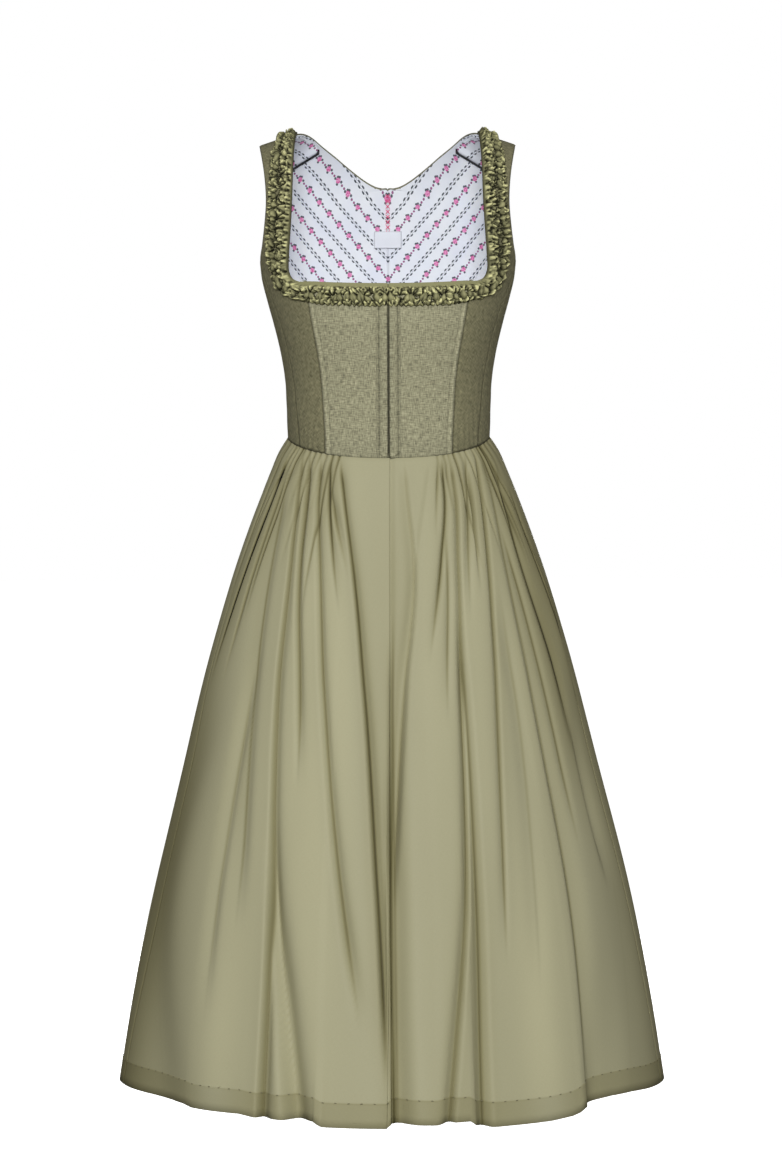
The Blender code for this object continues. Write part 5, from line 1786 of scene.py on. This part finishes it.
def scale(name, crease, curl, point):
    """One fold of the edge: y runs out from the pinch. Its tip tucks under, and its sides turn down."""
    out = SCALE_OUT[:, None]
    side = SCALE_SIDE[None, :]
    last = (np.arange(len(SCALE_OUT)) == len(SCALE_OUT) - 1)[:, None]
    spread = SCALE_ROOT + (1 - SCALE_ROOT) * np.sin(math.pi * np.minimum(out / SCALE_FULL_AT, 1) / 2)
    width = SCALE_HALF_WIDTH * spread * (1 - point * np.maximum(out - 0.5, 0) / 0.5)
    x = width * side + curl * SCALE_HALF_WIDTH * out**2
    y = SCALE_LENGTH * out * (1 - SCALE_ROUNDING * np.abs(side) ** 2)
    crown = np.sin(math.pi / 2 * np.minimum(out / SCALE_CROWN_AT + 0.15, 1))
    crown = crown * (1 - 0.45 * np.maximum(out - 0.55, 0) / 0.45)
    fold = crease * np.exp(-((side / SCALE_CREASE_WIDTH) ** 2)) * (1 - 0.75 * out)
    ridge = (1 - np.abs(side) ** 2.6) - fold
    z = np.where(last, -SCALE_TIP_UNDER, SCALE_HEIGHT * crown * ridge - SCALE_SIDE_UNDER * np.abs(side))
    # Painted light and shade: brightest on the crown, darker down the sides and in the crease.
    bright = np.clip(0.95 * crown * (1 - np.abs(side) ** 1.8 - 1.6 * fold), 0.02, 1)
    grid = np.stack([x, y, z], axis=-1)
    mesh = mesh_of(name, [(grid, np.stack([x, y], axis=-1))], [TRIM_CLOTH])
    # The tip that tucks under is painted black, as painted shade.
    set_brightness(mesh, np.where(last, 0.0, bright))
    if sum(face.normal.z * face.area for face in mesh.polygons) < 0:
        mesh.flip_normals()
    return bpy.data.objects.new(name, mesh)


SCALES = [
    scale("scale_tent", crease=0.0, curl=0.0, point=0.70),
    scale("scale_split", crease=0.75, curl=0.3, point=0.45),
    scale("scale_left", crease=0.25, curl=-0.7, point=0.75),
    scale("scale_right", crease=0.35, curl=0.7, point=0.75),
    scale("scale_blunt", crease=0.55, curl=-0.2, point=0.30),
]
TRIM_TREE = rows_tree("trim_rows", SCALES, TRIM_CLOTH)
print("scale faces:", len(SCALES[0].data.polygons))

# %% Slits of the crumple
PINCH_PITCH = 0.0128
PINCH_FIRST = 0.25
PINCH_SHIFT = 0.0022
PINCH_SHIFT_ACROSS = 0.0020
RAY_COUNTS = (8, 12)
RAY_SCATTER = 0.3
RAY_STARTS = (0.0004, 0.0020)
RAY_LENGTHS = (0.0055, 0.0120)
RAY_BEND = 90
RAY_DEPTH = 0.0032
RAY_DARKS = (0.85, 1.0)
LOOSE_BEND = 80
CORNER_SLITS = 4
CORNER_PLACES = (0.0015, 0.0055)
CORNER_LENGTHS = (0.003, 0.006)
CORNER_DEPTH = 0.0022
CORNER_DARK = 0.95
LOOSE_SLITS = 5
LOOSE_INNER = (0.0020, 0.0105)
LOOSE_OUTER = (0.0190, 0.0265)
LOOSE_LENGTHS = (0.0025, 0.0055)
LOOSE_DEPTH = 0.0018
LOOSE_DARKS = (0.5, 1.0)
Slit = namedtuple("Slit", "along across turn length bend depth dark")


def star(count, rng):
    """Directions of the rays of an uneven star."""
    first = rng.uniform(0, 2 * math.pi)
    return first + 2 * math.pi * (np.arange(count) + rng.uniform(-RAY_SCATTER, RAY_SCATTER, count)) / count


def across_the_band(spread, rng):
    """A direction towards one edge of the band or the other, give or take the spread."""
    return rng.choice([-1, 1]) * math.pi / 2 + rng.uniform(-spread, spread)


def near(pinch, rng):
    return pinch + rng.uniform(-0.5, 0.5) * PINCH_PITCH


def slits_along(length, rng):
    """Short sharp folds: a star of them round every pinch, and loose ones between the stars."""
    slits = []
    for pinch in np.arange(PINCH_FIRST * PINCH_PITCH, length, PINCH_PITCH):
        along = pinch + rng.uniform(-PINCH_SHIFT, PINCH_SHIFT)
        across = TRIM_MIDDLE + rng.uniform(-PINCH_SHIFT_ACROSS, PINCH_SHIFT_ACROSS)
        for turn in star(int(rng.integers(*RAY_COUNTS)), rng):
            start = rng.uniform(*RAY_STARTS)
            place = along + start * math.cos(turn), across + start * math.sin(turn)
            size = rng.uniform(*RAY_LENGTHS)
            bend = rng.uniform(-RAY_BEND, RAY_BEND)
            slits.append(Slit(*place, turn, size, bend, RAY_DEPTH, rng.uniform(*RAY_DARKS)))
        if pinch > TRIM_CORNER_AT:
            for _ in range(CORNER_SLITS):
                turn = across_the_band(0.7, rng)
                place = near(pinch, rng), rng.uniform(*CORNER_PLACES)
                size = rng.uniform(*CORNER_LENGTHS)
                bend = rng.uniform(-LOOSE_BEND, LOOSE_BEND)
                slits.append(Slit(*place, turn, size, bend, CORNER_DEPTH, CORNER_DARK))
        for _ in range(LOOSE_SLITS):
            across = rng.choice([rng.uniform(*LOOSE_INNER), rng.uniform(*LOOSE_OUTER)])
            turn = across_the_band(0.9, rng)
            along = near(pinch, rng)
            size = rng.uniform(*LOOSE_LENGTHS)
            bend = rng.uniform(-LOOSE_BEND, LOOSE_BEND)
            slits.append(Slit(along, across, turn, size, bend, LOOSE_DEPTH, rng.uniform(*LOOSE_DARKS)))
    return slits


print("slits on one side:", len(slits_along(float(NECK_LENGTH[-1]), np.random.default_rng(1))))

# %% Facets of the crumple
FacetRing = namedtuple("FacetRing", "radius faces")
FACET_RINGS = [FacetRing(0.0026, 5), FacetRing(0.0060, 8), FacetRing(0.0098, 11), FacetRing(0.0135, 12)]
FACET_NARROW = 0.50
FACET_OWN_SHARE = 0.55
FACET_RADIUS_SCATTER = (0.85, 1.15)


def seen_from(along, across, start_along, start_across, turn):
    """How far each place lies along a line with this start and turn, and how far to its side."""
    run = (along - start_along) * math.cos(turn) + (across - start_across) * math.sin(turn)
    off = (across - start_across) * math.cos(turn) - (along - start_along) * math.sin(turn)
    return run, off


def facets(along, across, rng):
    """Small flat faces round each pinch: how far the border is, which face it is, and where on it."""
    seeds = []
    for pinch in np.arange(PINCH_FIRST * PINCH_PITCH, along.max(), PINCH_PITCH):
        for ring in FACET_RINGS:
            turns = star(ring.faces, rng)
            out = ring.radius * rng.uniform(*FACET_RADIUS_SCATTER, ring.faces)
            for turn, far_out in zip(turns, out):
                if abs(far_out * math.cos(turn)) < FACET_OWN_SHARE * PINCH_PITCH:
                    place = pinch + far_out * math.cos(turn), TRIM_MIDDLE + far_out * math.sin(turn)
                    seeds.append((*place, turn))
    nearest = np.full(along.shape, np.inf)
    second = np.full(along.shape, np.inf)
    face = np.zeros(along.shape, int)
    side_step = np.zeros(along.shape)
    for number, seed in enumerate(np.array(seeds)):
        run, off = seen_from(along, across, *seed)
        away = np.hypot(FACET_NARROW * run, off)
        closer = away < nearest
        second = np.where(closer, nearest, np.minimum(second, away))
        face = np.where(closer, number, face)
        side_step = np.where(closer, off, side_step)
        nearest = np.where(closer, away, nearest)
    return second - nearest, face, side_step


print("facets round one pinch:", sum(ring.faces for ring in FACET_RINGS))

# %% Height and brightness of the crumple
BAND_PUFF = 0.0052
PUFF_RISE = 0.0034
PUFF_EDGE = 0.0030
PLAIN_FADE = 0.0016
STRAP_FADE = 0.03
STRAP_FADE_FROM = 0.02
MIDDLE_WIDTH = 0.0026
MIDDLE_DROP = 0.45
MIDDLE_SHADE = 0.25
FACET_TONES = (0.50, 1.0)
FACET_TILTS = (-0.7, 0.7)
FACET_RISES = (-0.0009, 0.0009)
FACET_GAPS = (0.0, 0.8)
FACET_GAP = 0.00055
FACET_GAP_DEPTH = 0.0014
FACET_HALF = 0.002
TILT_LIGHT = 0.22
TILT_LIGHT_WIDTH = 0.0018
MEAN_TONE = 0.66
SLIT_WIDTH = 0.00140
SLIT_START = 0.0008
SLIT_END = 0.0018
SLIT_SHADE = 0.97
GAP_SHADE = 0.85
LIP_FROM_SLIT = 0.0020
LIP_RISE = 0.0012
SLIT_LIP_GLOW = 0.85
EDGE_DARK_WIDTH = 0.0014
EDGE_DARK = 0.7
NECK_EDGE_DARK = 0.35
NECK_EDGE_WIDTH = 0.0008
FRONT_LIGHT = 1.10
STRAP_LIGHT_LOSS = 0.15
TOP_LIGHT_LOSS = 0.12
TOP_FROM = 0.11
TOP_FADE = 0.06
BRIGHTEST = 1.30
CONTRAST_POWER = 1.8


def crumple(along, across, rng):
    """Height, and painted light and shade, of the crumpled cloth at each place along and across the band."""
    strap = smooth_step((along - TRIM_CORNER_AT + STRAP_FADE_FROM) / STRAP_FADE)
    plain = TRIM_PLAIN_FRONT + (TRIM_PLAIN_STRAP - TRIM_PLAIN_FRONT) * strap
    inner = smooth_step((across - plain) / PLAIN_FADE)
    outer = smooth_step((TRIM_BAND - across) / PUFF_EDGE)
    middle = bump(across - TRIM_MIDDLE, MIDDLE_WIDTH)
    height = BAND_PUFF * smooth_step((across - plain) / PUFF_RISE) * outer * (1 - MIDDLE_DROP * middle)
    border, face, off = facets(along, across, rng)
    count = int(face.max()) + 1
    tone = rng.uniform(*FACET_TONES, count)[face]
    tilt = rng.uniform(*FACET_TILTS, count)[face]
    rise = rng.uniform(*FACET_RISES, count)[face]
    gap = rng.uniform(*FACET_GAPS, count)[face] * bump(border, FACET_GAP)
    tilted = tilt * np.clip(off, -FACET_HALF, FACET_HALF)
    height = height + inner * (rise + tilted - FACET_GAP_DEPTH * gap)
    side_light = TILT_LIGHT * np.sign(tilt) * np.clip(off / TILT_LIGHT_WIDTH, -1, 1)
    bright = MEAN_TONE + inner * (tone - MEAN_TONE + side_light - MIDDLE_SHADE * middle)
    dark = np.zeros(along.shape)
    glow = np.zeros(along.shape)
    for slit in slits_along(along.max(), rng):
        run, off = seen_from(along, across, slit.along, slit.across, slit.turn)
        off = off - slit.bend * run**2 / 2
        reach = smooth_step(run / SLIT_START) * smooth_step((slit.length - run) / SLIT_END)
        width = SLIT_WIDTH * (1.35 - 0.75 * np.clip(run / slit.length, 0, 1))
        height = height - slit.depth * reach * bump(off, width * 1.25) * inner
        dark = np.maximum(dark, slit.dark * reach * bump(off, width))
        lip = LIP_FROM_SLIT * (1 if slit.bend > 0 else -1)
        glow = np.maximum(glow, reach * bump(off - lip, SLIT_WIDTH))
        height = height + LIP_RISE * reach * bump(off - lip, SLIT_WIDTH) * inner
    # Painted shade in the slits and gaps, along the outer edge and at the strap's neck edge, and painted
    # light that is strongest in front and fades up the strap.
    edge = smooth_step((across - TRIM_BAND + EDGE_DARK_WIDTH) / EDGE_DARK_WIDTH)
    lit = (1 - SLIT_SHADE * dark * inner) * (1 - GAP_SHADE * gap * inner) * (1 - EDGE_DARK * edge)
    lit = lit * (1 - NECK_EDGE_DARK * strap * bump(across, NECK_EDGE_WIDTH))
    lit = lit * (FRONT_LIGHT - STRAP_LIGHT_LOSS * strap)
    lit = lit * (1 - TOP_LIGHT_LOSS * smooth_step((along - along.max() + TOP_FROM) / TOP_FADE))
    return height, np.clip((bright + SLIT_LIP_GLOW * glow * inner) * lit, 0.0, BRIGHTEST) ** CONTRAST_POWER


print("the band puffs up by", BAND_PUFF, "m, and its slits are up to", RAY_DEPTH, "m deep")

# %% Band and edge folds
BAND_COLUMNS = 52
BAND_INSIDE = 0.0004
BAND_LIFT = 0.0016
BAND_WALL = 0.0010
TOOTH_PITCH = 0.0062
TOOTH_OUT = 0.0016
TOOTH_IN = 0.0014
TOOTH_SIZES = (0.55, 1.0)
TOOTH_SHIFT = 0.25
SHOULDER_TAPER = 0.0075
SHOULDER_TAPER_FROM = 0.075
SHOULDER_TAPER_RUN = 0.050
TRIM_GATHER = 1.9
EDGE_SCALES_AT = 0.0232
EDGE_SCALE_PITCH = 0.0092
EDGE_SCALE_LIFT = 0.0034
EDGE_SCALE_ENDS = slice(4, -6)


def toothed(line, across, teeth):
    """The lines of the band, each row drawn in or pushed out towards its outer edge by its own tooth."""
    share = np.clip(across / TRIM_BAND, 0, 1) ** 2
    rows = [np.interp(across + tooth * share, across, row) for tooth, row in zip(teeth, line)]
    return np.array(rows)


def trim_band(side, rng):
    """The band from the neck edge out: a plain strip, then the cloth that is pinched along its middle."""
    across = np.linspace(-BAND_INSIDE, TRIM_BAND + TOOTH_OUT, BAND_COLUMNS)
    angle, climb = (np.stack(lines, axis=1) for lines in zip(*[trim_line(place) for place in across]))
    knots = np.arange(0, NECK_LENGTH[-1] + TOOTH_PITCH, TOOTH_PITCH / 2)
    tips = np.where(np.arange(len(knots)) % 2, 0.0, -TOOTH_OUT - TOOTH_IN)
    heights = tips * rng.uniform(*TOOTH_SIZES, len(knots))
    knots = knots + rng.uniform(-TOOTH_SHIFT, TOOTH_SHIFT, len(knots)) * TOOTH_PITCH / 2
    past_taper = NECK_LENGTH - NECK_LENGTH[-1] + SHOULDER_TAPER_FROM
    taper = SHOULDER_TAPER * smooth_step(past_taper / SHOULDER_TAPER_RUN)
    teeth = np.interp(NECK_LENGTH, knots, heights) - taper
    angle = toothed(angle, across, teeth)
    climb = toothed(climb, across, teeth)
    across = np.linspace(-BAND_INSIDE, TRIM_BAND, BAND_COLUMNS)
    along, wide = np.broadcast_arrays(NECK_LENGTH[:, None], across[None, :])
    height, bright = crumple(along, wide, rng)
    points = bodice(angle, climb) + normals(bodice, angle, climb) * (BAND_LIFT + height)[..., None]
    points[..., 0] *= side
    patch = points, np.stack([along, wide], axis=-1)
    band = cloth_piece(side_name("trim_band", side), [patch], [TRIM_CLOTH], BAND_WALL)
    set_brightness(band.data, bright)
    return band


def trim_scales(side, seed):
    angle, climb = (line[EDGE_SCALE_ENDS] for line in trim_line(EDGE_SCALES_AT))
    row = row_on(bodice, angle, climb, EDGE_SCALE_LIFT, mirror=side)
    settings = {"pitch": EDGE_SCALE_PITCH, "turn_spread": 0.55, "tilt_spread": 0.20, "size_spread": 0.28}
    outward = [row._replace(along=row.along * side)]
    sewn_rows(side_name("trim_scales", side), TRIM_TREE, outward, "ruched_trim", seed=seed, **settings)


for side, band_seed, scale_seed in ((-1, 5, 11), (1, 8, 23)):
    band = trim_band(side, np.random.default_rng(band_seed))
    trim_scales(side, scale_seed)
    finish_piece(band, side_name("neck_trim", side), "gathered", TRIM_GATHER)

# %% [markdown]
# ## Stitches
# A stitch is a short rounded bar, and a cross-stitch is two of them crossed. The rows tree sets them all,
# each with a thread of its own colour. The hem is blind-stitched: only a short bar shows every fifteen
# millimetres.

# %% Thread and stitch shapes
THREAD_TWIST = (900, 2600)
BAR_ALONG = np.array([-1.0, -0.92, -0.6, 0.0, 0.6, 0.92, 1.0])[:, None]
BAR_GIRTH = np.array([0.02, 0.6, 0.95, 1.0, 0.95, 0.6, 0.02])[:, None]
BAR_ROUND = np.linspace(0, 2 * math.pi, 9)[None, :]


def thread(name, colour):
    recipe = Recipe(name, roughness=0.6, sheen=0.1, specular=0.3)
    twist = recipe.noise(recipe.cut(), *THREAD_TWIST)
    recipe.paint(recipe.shade(recipe.colour(colour), (twist - 0.5) * 0.5 + 1))
    return recipe.material


def stitch(name, length, thickness, turns=(0.0,)):
    """A low rounded bar along x, or several that cross, with closed normals."""
    patches = []
    for level, turn in enumerate(turns):
        girth = BAR_GIRTH * thickness / 2
        x = BAR_ALONG * length / 2 * np.ones_like(BAR_ROUND)
        y = girth * np.cos(BAR_ROUND)
        z = girth * np.sin(BAR_ROUND) + thickness * (0.15 + 0.5 * level)
        turned_x = x * math.cos(turn) - y * math.sin(turn)
        turned_y = x * math.sin(turn) + y * math.cos(turn)
        uv = np.stack([x, BAR_ROUND * girth], axis=-1)
        patches.append((np.stack([turned_x, turned_y, z], axis=-1), uv))
    mesh = mesh_of(name, patches, [])
    shape = bmesh.new()
    shape.from_mesh(mesh)
    bmesh.ops.remove_doubles(shape, verts=shape.verts, dist=1e-6)
    bmesh.ops.recalc_face_normals(shape, faces=shape.faces)
    shape.to_mesh(mesh)
    shape.free()
    return bpy.data.objects.new(name, mesh)


OLIVE_THREAD = thread("olive_thread", (0.330, 0.315, 0.205))
SKIRT_THREAD = thread("skirt_thread", (0.200, 0.185, 0.105))
PINK_THREAD = thread("pink_thread", (0.800, 0.110, 0.260))
WHITE_THREAD = thread("white_thread", (0.70, 0.71, 0.74))
TOPSTITCH = stitch("topstitch", 0.0021, 0.0005)
BLIND_STITCH = stitch("blind_stitch", 0.0030, 0.0011)
CROSS = stitch("cross", 0.0076, 0.0011, turns=(math.pi / 4, -math.pi / 4))
TOPSTITCH_TREE = rows_tree("topstitch_rows", [TOPSTITCH], OLIVE_THREAD)
BLIND_TREE = rows_tree("blind_stitch_rows", [BLIND_STITCH], SKIRT_THREAD)
CROSS_TREE = rows_tree("cross_rows", [CROSS], PINK_THREAD)
LABEL_TREE = rows_tree("label_stitch_rows", [TOPSTITCH], WHITE_THREAD)
print("faces of a stitch:", len(TOPSTITCH.data.polygons), "and of a cross:", len(CROSS.data.polygons))

# %% Hem stitches
HEM_STITCH_PITCH = 0.0155
HEM_STITCH_LIFT = HEM_STEP + 0.0002
HEM_STITCH_ENDS = 0.02


def skirt_outside(turned, drop):
    """The skirt read the other way round, so that its normals point out."""
    return skirt_surface(ALL_FOLDS)(-turned, drop)


turned = np.linspace(HEM_STITCH_ENDS, 2 * math.pi - HEM_STITCH_ENDS, 1600)
level = np.full(turned.shape, 1 - HEM_BAND / SKIRT_LENGTH)
hem = [row_on(skirt_outside, turned, level, HEM_STITCH_LIFT)]
sewn_rows("hem_stitches", BLIND_TREE, hem, "skirt_cloth", pitch=HEM_STITCH_PITCH, turn_spread=0.25, seed=9)

# %% [markdown]
# ## Placket strips
# The front closes edge to edge with hidden hooks. Two narrow strips of the bodice cloth cover the closure,
# with rounded lower ends, each sewn down along its outer edge. A strip is a grid whose width follows a
# quarter circle at its lower end, and one more line of stitches runs beside it.

# %% Placket strips
PLACKET_ROWS = 110
PLACKET_COLUMNS = 22
PLACKET_ROW_POWER = 1.4
PLACKET_STITCH_AT = PLACKET_WIDTH - 0.0016
PLACKET_STITCH_WIDTH = 0.0006
PLACKET_CROWN = 0.00035
TOPSTITCH_PITCH = 0.0030
PLACKET_EDGE_THINNING = 0.55


def corner_cut(above, radius):
    """How far a rounded corner cuts into an edge at a height above its lower end."""
    left = radius - np.minimum(above, radius)
    return radius - np.sqrt(radius**2 - left**2)


def placket(side):
    low = waist_height(0.0) + PLACKET_ABOVE_WAIST
    climb = np.linspace(0, 1, PLACKET_ROWS)[:, None] ** PLACKET_ROW_POWER * (PLACKET_TOP - low) + low
    width = PLACKET_WIDTH - corner_cut(climb - low, PLACKET_CORNER)
    run = crowded(PLACKET_COLUMNS)[None, :] * width
    x = PLACKET_FROM_CENTRE + run
    climb = np.broadcast_to(climb, x.shape)
    angle = bodice_angle(x, climb)
    inset = np.minimum(run, width - run)
    crown = PLACKET_WALL * (1 - PLACKET_EDGE_THINNING * bump(inset, 0.0007))
    crown = crown + PLACKET_CROWN * bump(run - PLACKET_WIDTH / 2, 0.003)
    stitched = 0.0004 * bump(run - PLACKET_STITCH_AT, PLACKET_STITCH_WIDTH)
    points = bodice(angle, climb) + normals(bodice, angle, climb) * (crown - stitched + SEAM_GAP)[..., None]
    points[..., 0] *= side
    shade = 0.75 * bump(run, 0.0007) + 0.30 * bump(width - run, 0.0009)
    shade = shade + 0.12 * bump(run - PLACKET_STITCH_AT, PLACKET_STITCH_WIDTH) + 0.05
    patch = points, np.stack([side * x, climb], axis=-1), shade
    return cloth_piece(side_name("placket_strip", side), [patch], [FRONT_CLOTH], PLACKET_WALL)


PlacketLine = namedtuple("PlacketLine", "from_centre lift")
PLACKET_LINES = [
    PlacketLine(PLACKET_FROM_CENTRE + PLACKET_STITCH_AT, PLACKET_WALL + SEAM_GAP - 0.0003),
    PlacketLine(PLACKET_FROM_CENTRE + PLACKET_WIDTH + 0.0026, 0.0),
]
for side in (-1, 1):
    finish_piece(placket(side), side_name("placket", side))
    climb = np.linspace(waist_height(0.0) + 0.006, PLACKET_TOP - 0.002, 60)
    rows = [row_on(bodice, bodice_angle(x, climb), climb, lift, side) for x, lift in PLACKET_LINES]
    name = side_name("placket_stitches", side)
    sewn_rows(name, TOPSTITCH_TREE, rows, "bodice_cloth", pitch=TOPSTITCH_PITCH, seed=3)

# %% [markdown]
# ## Strap tabs
# At the shoulder the front strap laps onto the back, and its lining shows there as a small printed tab
# with one rounded corner. Its lower edge stands off a little. A dark strip just under that edge, part of
# the same piece, stands for the shadow that it throws on the lining, which soft light alone would wash
# out.

# %% Strap tabs
STRAP_TAB_DEPTH = LINING_DEPTH + LINING_WALL + 0.0012
TAB_ROWS = 44
TAB_COLUMNS = 30
TAB_CORNER = 0.0055
TAB_STAND_OFF = 0.0030
TAB_STAND_OFF_SHARE = 0.12
TAB_EDGE_SHADE = 0.25
TAB_EDGE_SHARE = 0.02
TAB_SHADOW = 0.0068
TAB_SHADOW_SHADE = 0.93


def strap_tab(side):
    first, last = (fine_edge(edge, TAB_ROWS) for edge in strap_edges(STRAP_TAB, behind=True))
    up = np.linspace(0, 1, TAB_ROWS)[:, None]
    inner, outer = bodice(*first), bodice(*last)
    climbed = distances(inner[:, None], 0)[:, 0]
    corner = (corner_cut(climbed, TAB_CORNER) / np.linalg.norm(outer - inner, axis=1))[:, None]
    share = np.linspace(0, 1, TAB_COLUMNS)
    shares = np.concatenate([np.stack([share, share]), corner + (1 - corner) * share])
    rows = np.concatenate([[0, 0], np.arange(TAB_ROWS)])
    drops = np.concatenate([[TAB_SHADOW, -SEAM_GAP], np.zeros(TAB_ROWS)])[:, None]
    angle = first[0][rows, None] + (last[0] - first[0])[rows, None] * shares
    climb = first[1][rows, None] + (last[1] - first[1])[rows, None] * shares - drops
    stand_off = np.concatenate([np.zeros((2, 1)), TAB_STAND_OFF * bump(up, TAB_STAND_OFF_SHARE)])
    points = bodice(angle, climb) - normals(bodice, angle, climb) * (STRAP_TAB_DEPTH + stand_off)[..., None]
    round_body = arc_from(bodice, math.pi, angle, climb)
    points[..., 0] *= side
    uv = np.stack([side * round_body, climb], axis=-1)
    edge_shade = TAB_EDGE_SHADE * bump(up, TAB_EDGE_SHARE)
    shade = np.concatenate([np.full((2, 1), TAB_SHADOW_SHADE), edge_shade]) + np.zeros(angle.shape)
    return cloth_piece(side_name("strap_tab", side), [(points, uv, shade)], [TAB_CLOTH], LINING_WALL)


make_pair(strap_tab, "strap_lining")

# %% [markdown]
# ## Label
# A small white ribbon is sewn to the lining at its two ends, so its middle stands a little loose. It is
# left bare. A ribbon is woven with fine ribs across it, which a sine of its own cut gives.

# %% Label
LABEL_WIDTH = 0.0355
LABEL_LENGTH = 0.0215
LABEL_HEIGHT = -0.131
LABEL_DEPTH = LINING_DEPTH + LINING_WALL + 0.0014
LABEL_WALL = 0.0008
LABEL_LOOSE = 0.0010
LABEL_EDGE_SHADE = 0.30
LABEL_EDGE_WIDTH = 0.0009
LABEL_COLOUR = (0.859, 0.893, 0.972)
RIB_PITCH = 0.0007
RIB_CONTRAST = 0.03
RIB_RELIEF = 0.00008
RIBBON_SPOTS = (500, 1500)
RIBBON_CONTRAST = 0.10


def label_cloth():
    recipe = Recipe("woven_label", roughness=0.55, sheen=0.1, specular=0.3)
    cut = recipe.cut()
    across, along, _ = recipe.axes(cut)
    ribs = (along * (2 * math.pi / RIB_PITCH)).math("SINE")
    tone = ribs * RIB_CONTRAST + (recipe.noise(cut, *RIBBON_SPOTS) - 0.5) * RIBBON_CONTRAST + 0.98
    lit = recipe.attribute("shade") * -1 + 1
    recipe.paint(recipe.shade(recipe.colour(LABEL_COLOUR), tone * lit))
    recipe.bump(ribs * 0.5, RIB_RELIEF)
    return recipe.material


def inside_back(x, climb, depth):
    """Points just inside the back, x from the middle."""
    angle = math.pi - bodice_angle(x, climb)
    return bodice(angle, climb) - normals(bodice, angle, climb) * np.asarray(depth)[..., None]


share = np.linspace(-1, 1, 25)
label_x, label_climb = np.meshgrid(share * LABEL_WIDTH / 2, LABEL_HEIGHT + share * LABEL_LENGTH / 2)
loose = LABEL_LOOSE * (1 - share[:, None] ** 2) * (1 - 0.6 * share[None, :] ** 2)
loose = loose + 0.0006 * bump(share[:, None] + 1, 0.2)
label_points = inside_back(label_x, label_climb, LABEL_DEPTH + loose)
from_end = LABEL_LENGTH / 2 - np.abs(label_climb - LABEL_HEIGHT)
label_edge = np.minimum(LABEL_WIDTH / 2 - np.abs(label_x), from_end)
label_shade = LABEL_EDGE_SHADE * bump(label_edge, LABEL_EDGE_WIDTH)
label_patch = (label_points, np.stack([label_x, label_climb], axis=-1), label_shade)
label = cloth_piece("label", [label_patch], [label_cloth()], LABEL_WALL)
finish_piece(label, "neck_label")

# %% Label stitches
LABEL_STITCH_DEPTH = LABEL_DEPTH + 0.0008 + LABEL_WALL
LABEL_STITCH_FROM_EDGE = 0.0012
LABEL_STITCH_REACH = 0.46
LABEL_STITCH_POINTS = 12


def inside_row(x, climb, depth):
    """A row of stitches on the inside of the back, facing the front."""
    points = inside_back(x, climb, depth)
    out = np.broadcast_to(np.array([0.0, -1.0, 0.0]), points.shape)
    return Row(points, out, unit(np.gradient(points, axis=0)))


reach = np.linspace(-LABEL_STITCH_REACH, LABEL_STITCH_REACH, LABEL_STITCH_POINTS)
climb = reach * LABEL_LENGTH + LABEL_HEIGHT
depth = np.full(LABEL_STITCH_POINTS, LABEL_STITCH_DEPTH)
end_rows = []
for end in (-1, 1):
    x = np.full(LABEL_STITCH_POINTS, end * (LABEL_WIDTH / 2 - LABEL_STITCH_FROM_EDGE))
    end_rows.append(inside_row(x, climb, depth))
sewn_rows("label_stitches", LABEL_TREE, end_rows, "woven_label", pitch=0.0027, seed=5)

# %% [markdown]
# ## Cross-stitches
# A short column of pink cross-stitches closes the lining at centre back. It is one more row for the tree,
# straight down the seam, with one cross on each of its eight points.

# %% Cross-stitch column
CROSS_PITCH = 0.0061
CROSS_TOP = -0.0790
CROSS_COUNT = 8
CROSS_DEPTH = LINING_DEPTH + LINING_WALL + 0.0004

climb = CROSS_TOP - CROSS_PITCH * np.arange(CROSS_COUNT)
column_of_crosses = [inside_row(np.zeros(CROSS_COUNT), climb, np.full(CROSS_COUNT, CROSS_DEPTH))]
crosses = {"pitch": CROSS_PITCH, "size_spread": 0.06, "seed": 2}
sewn_rows("cross_stitches", CROSS_TREE, column_of_crosses, "printed_lining", **crosses)

# %% [markdown]
# ## Pocket facing
# The pocket is a gap in the side seam. Behind its mouth lies a strip of the skirt's cloth, the facing, so
# that one doesn't look through the gap. It follows the skirt's own surface a few millimetres further in.

# %% Pocket facing
FACING_IN_FRONT = 0.018
FACING_BEHIND = 0.006
FACING_DEPTH = 0.0036
FACING_ROWS = 60
FACING_COLUMNS = 14

drops = np.linspace(POCKET_TOP, POCKET_END, FACING_ROWS)
seam_angle = right_side_line(drops)
seam_arc = arc_per_radian(skirt_base, seam_angle, drops)
facing_run = np.linspace(-FACING_IN_FRONT, FACING_BEHIND, FACING_COLUMNS)[None, :]
facing_angle = seam_angle[:, None] + facing_run / seam_arc[:, None]
facing_drop = np.broadcast_to(drops[:, None], facing_angle.shape)
folded_skirt = skirt_surface(ALL_FOLDS)
facing_points = folded_skirt(facing_angle, facing_drop)
facing_points = facing_points + normals(folded_skirt, facing_angle, facing_drop) * FACING_DEPTH
facing_uv = np.stack(np.broadcast_arrays(facing_run, -facing_drop * SKIRT_LENGTH), axis=-1)
facing = cloth_piece("pocket_facing", [(facing_points, facing_uv)], [SKIRT_CLOTH], SKIRT_WALL)
finish_piece(facing, "pocket_facing_right")
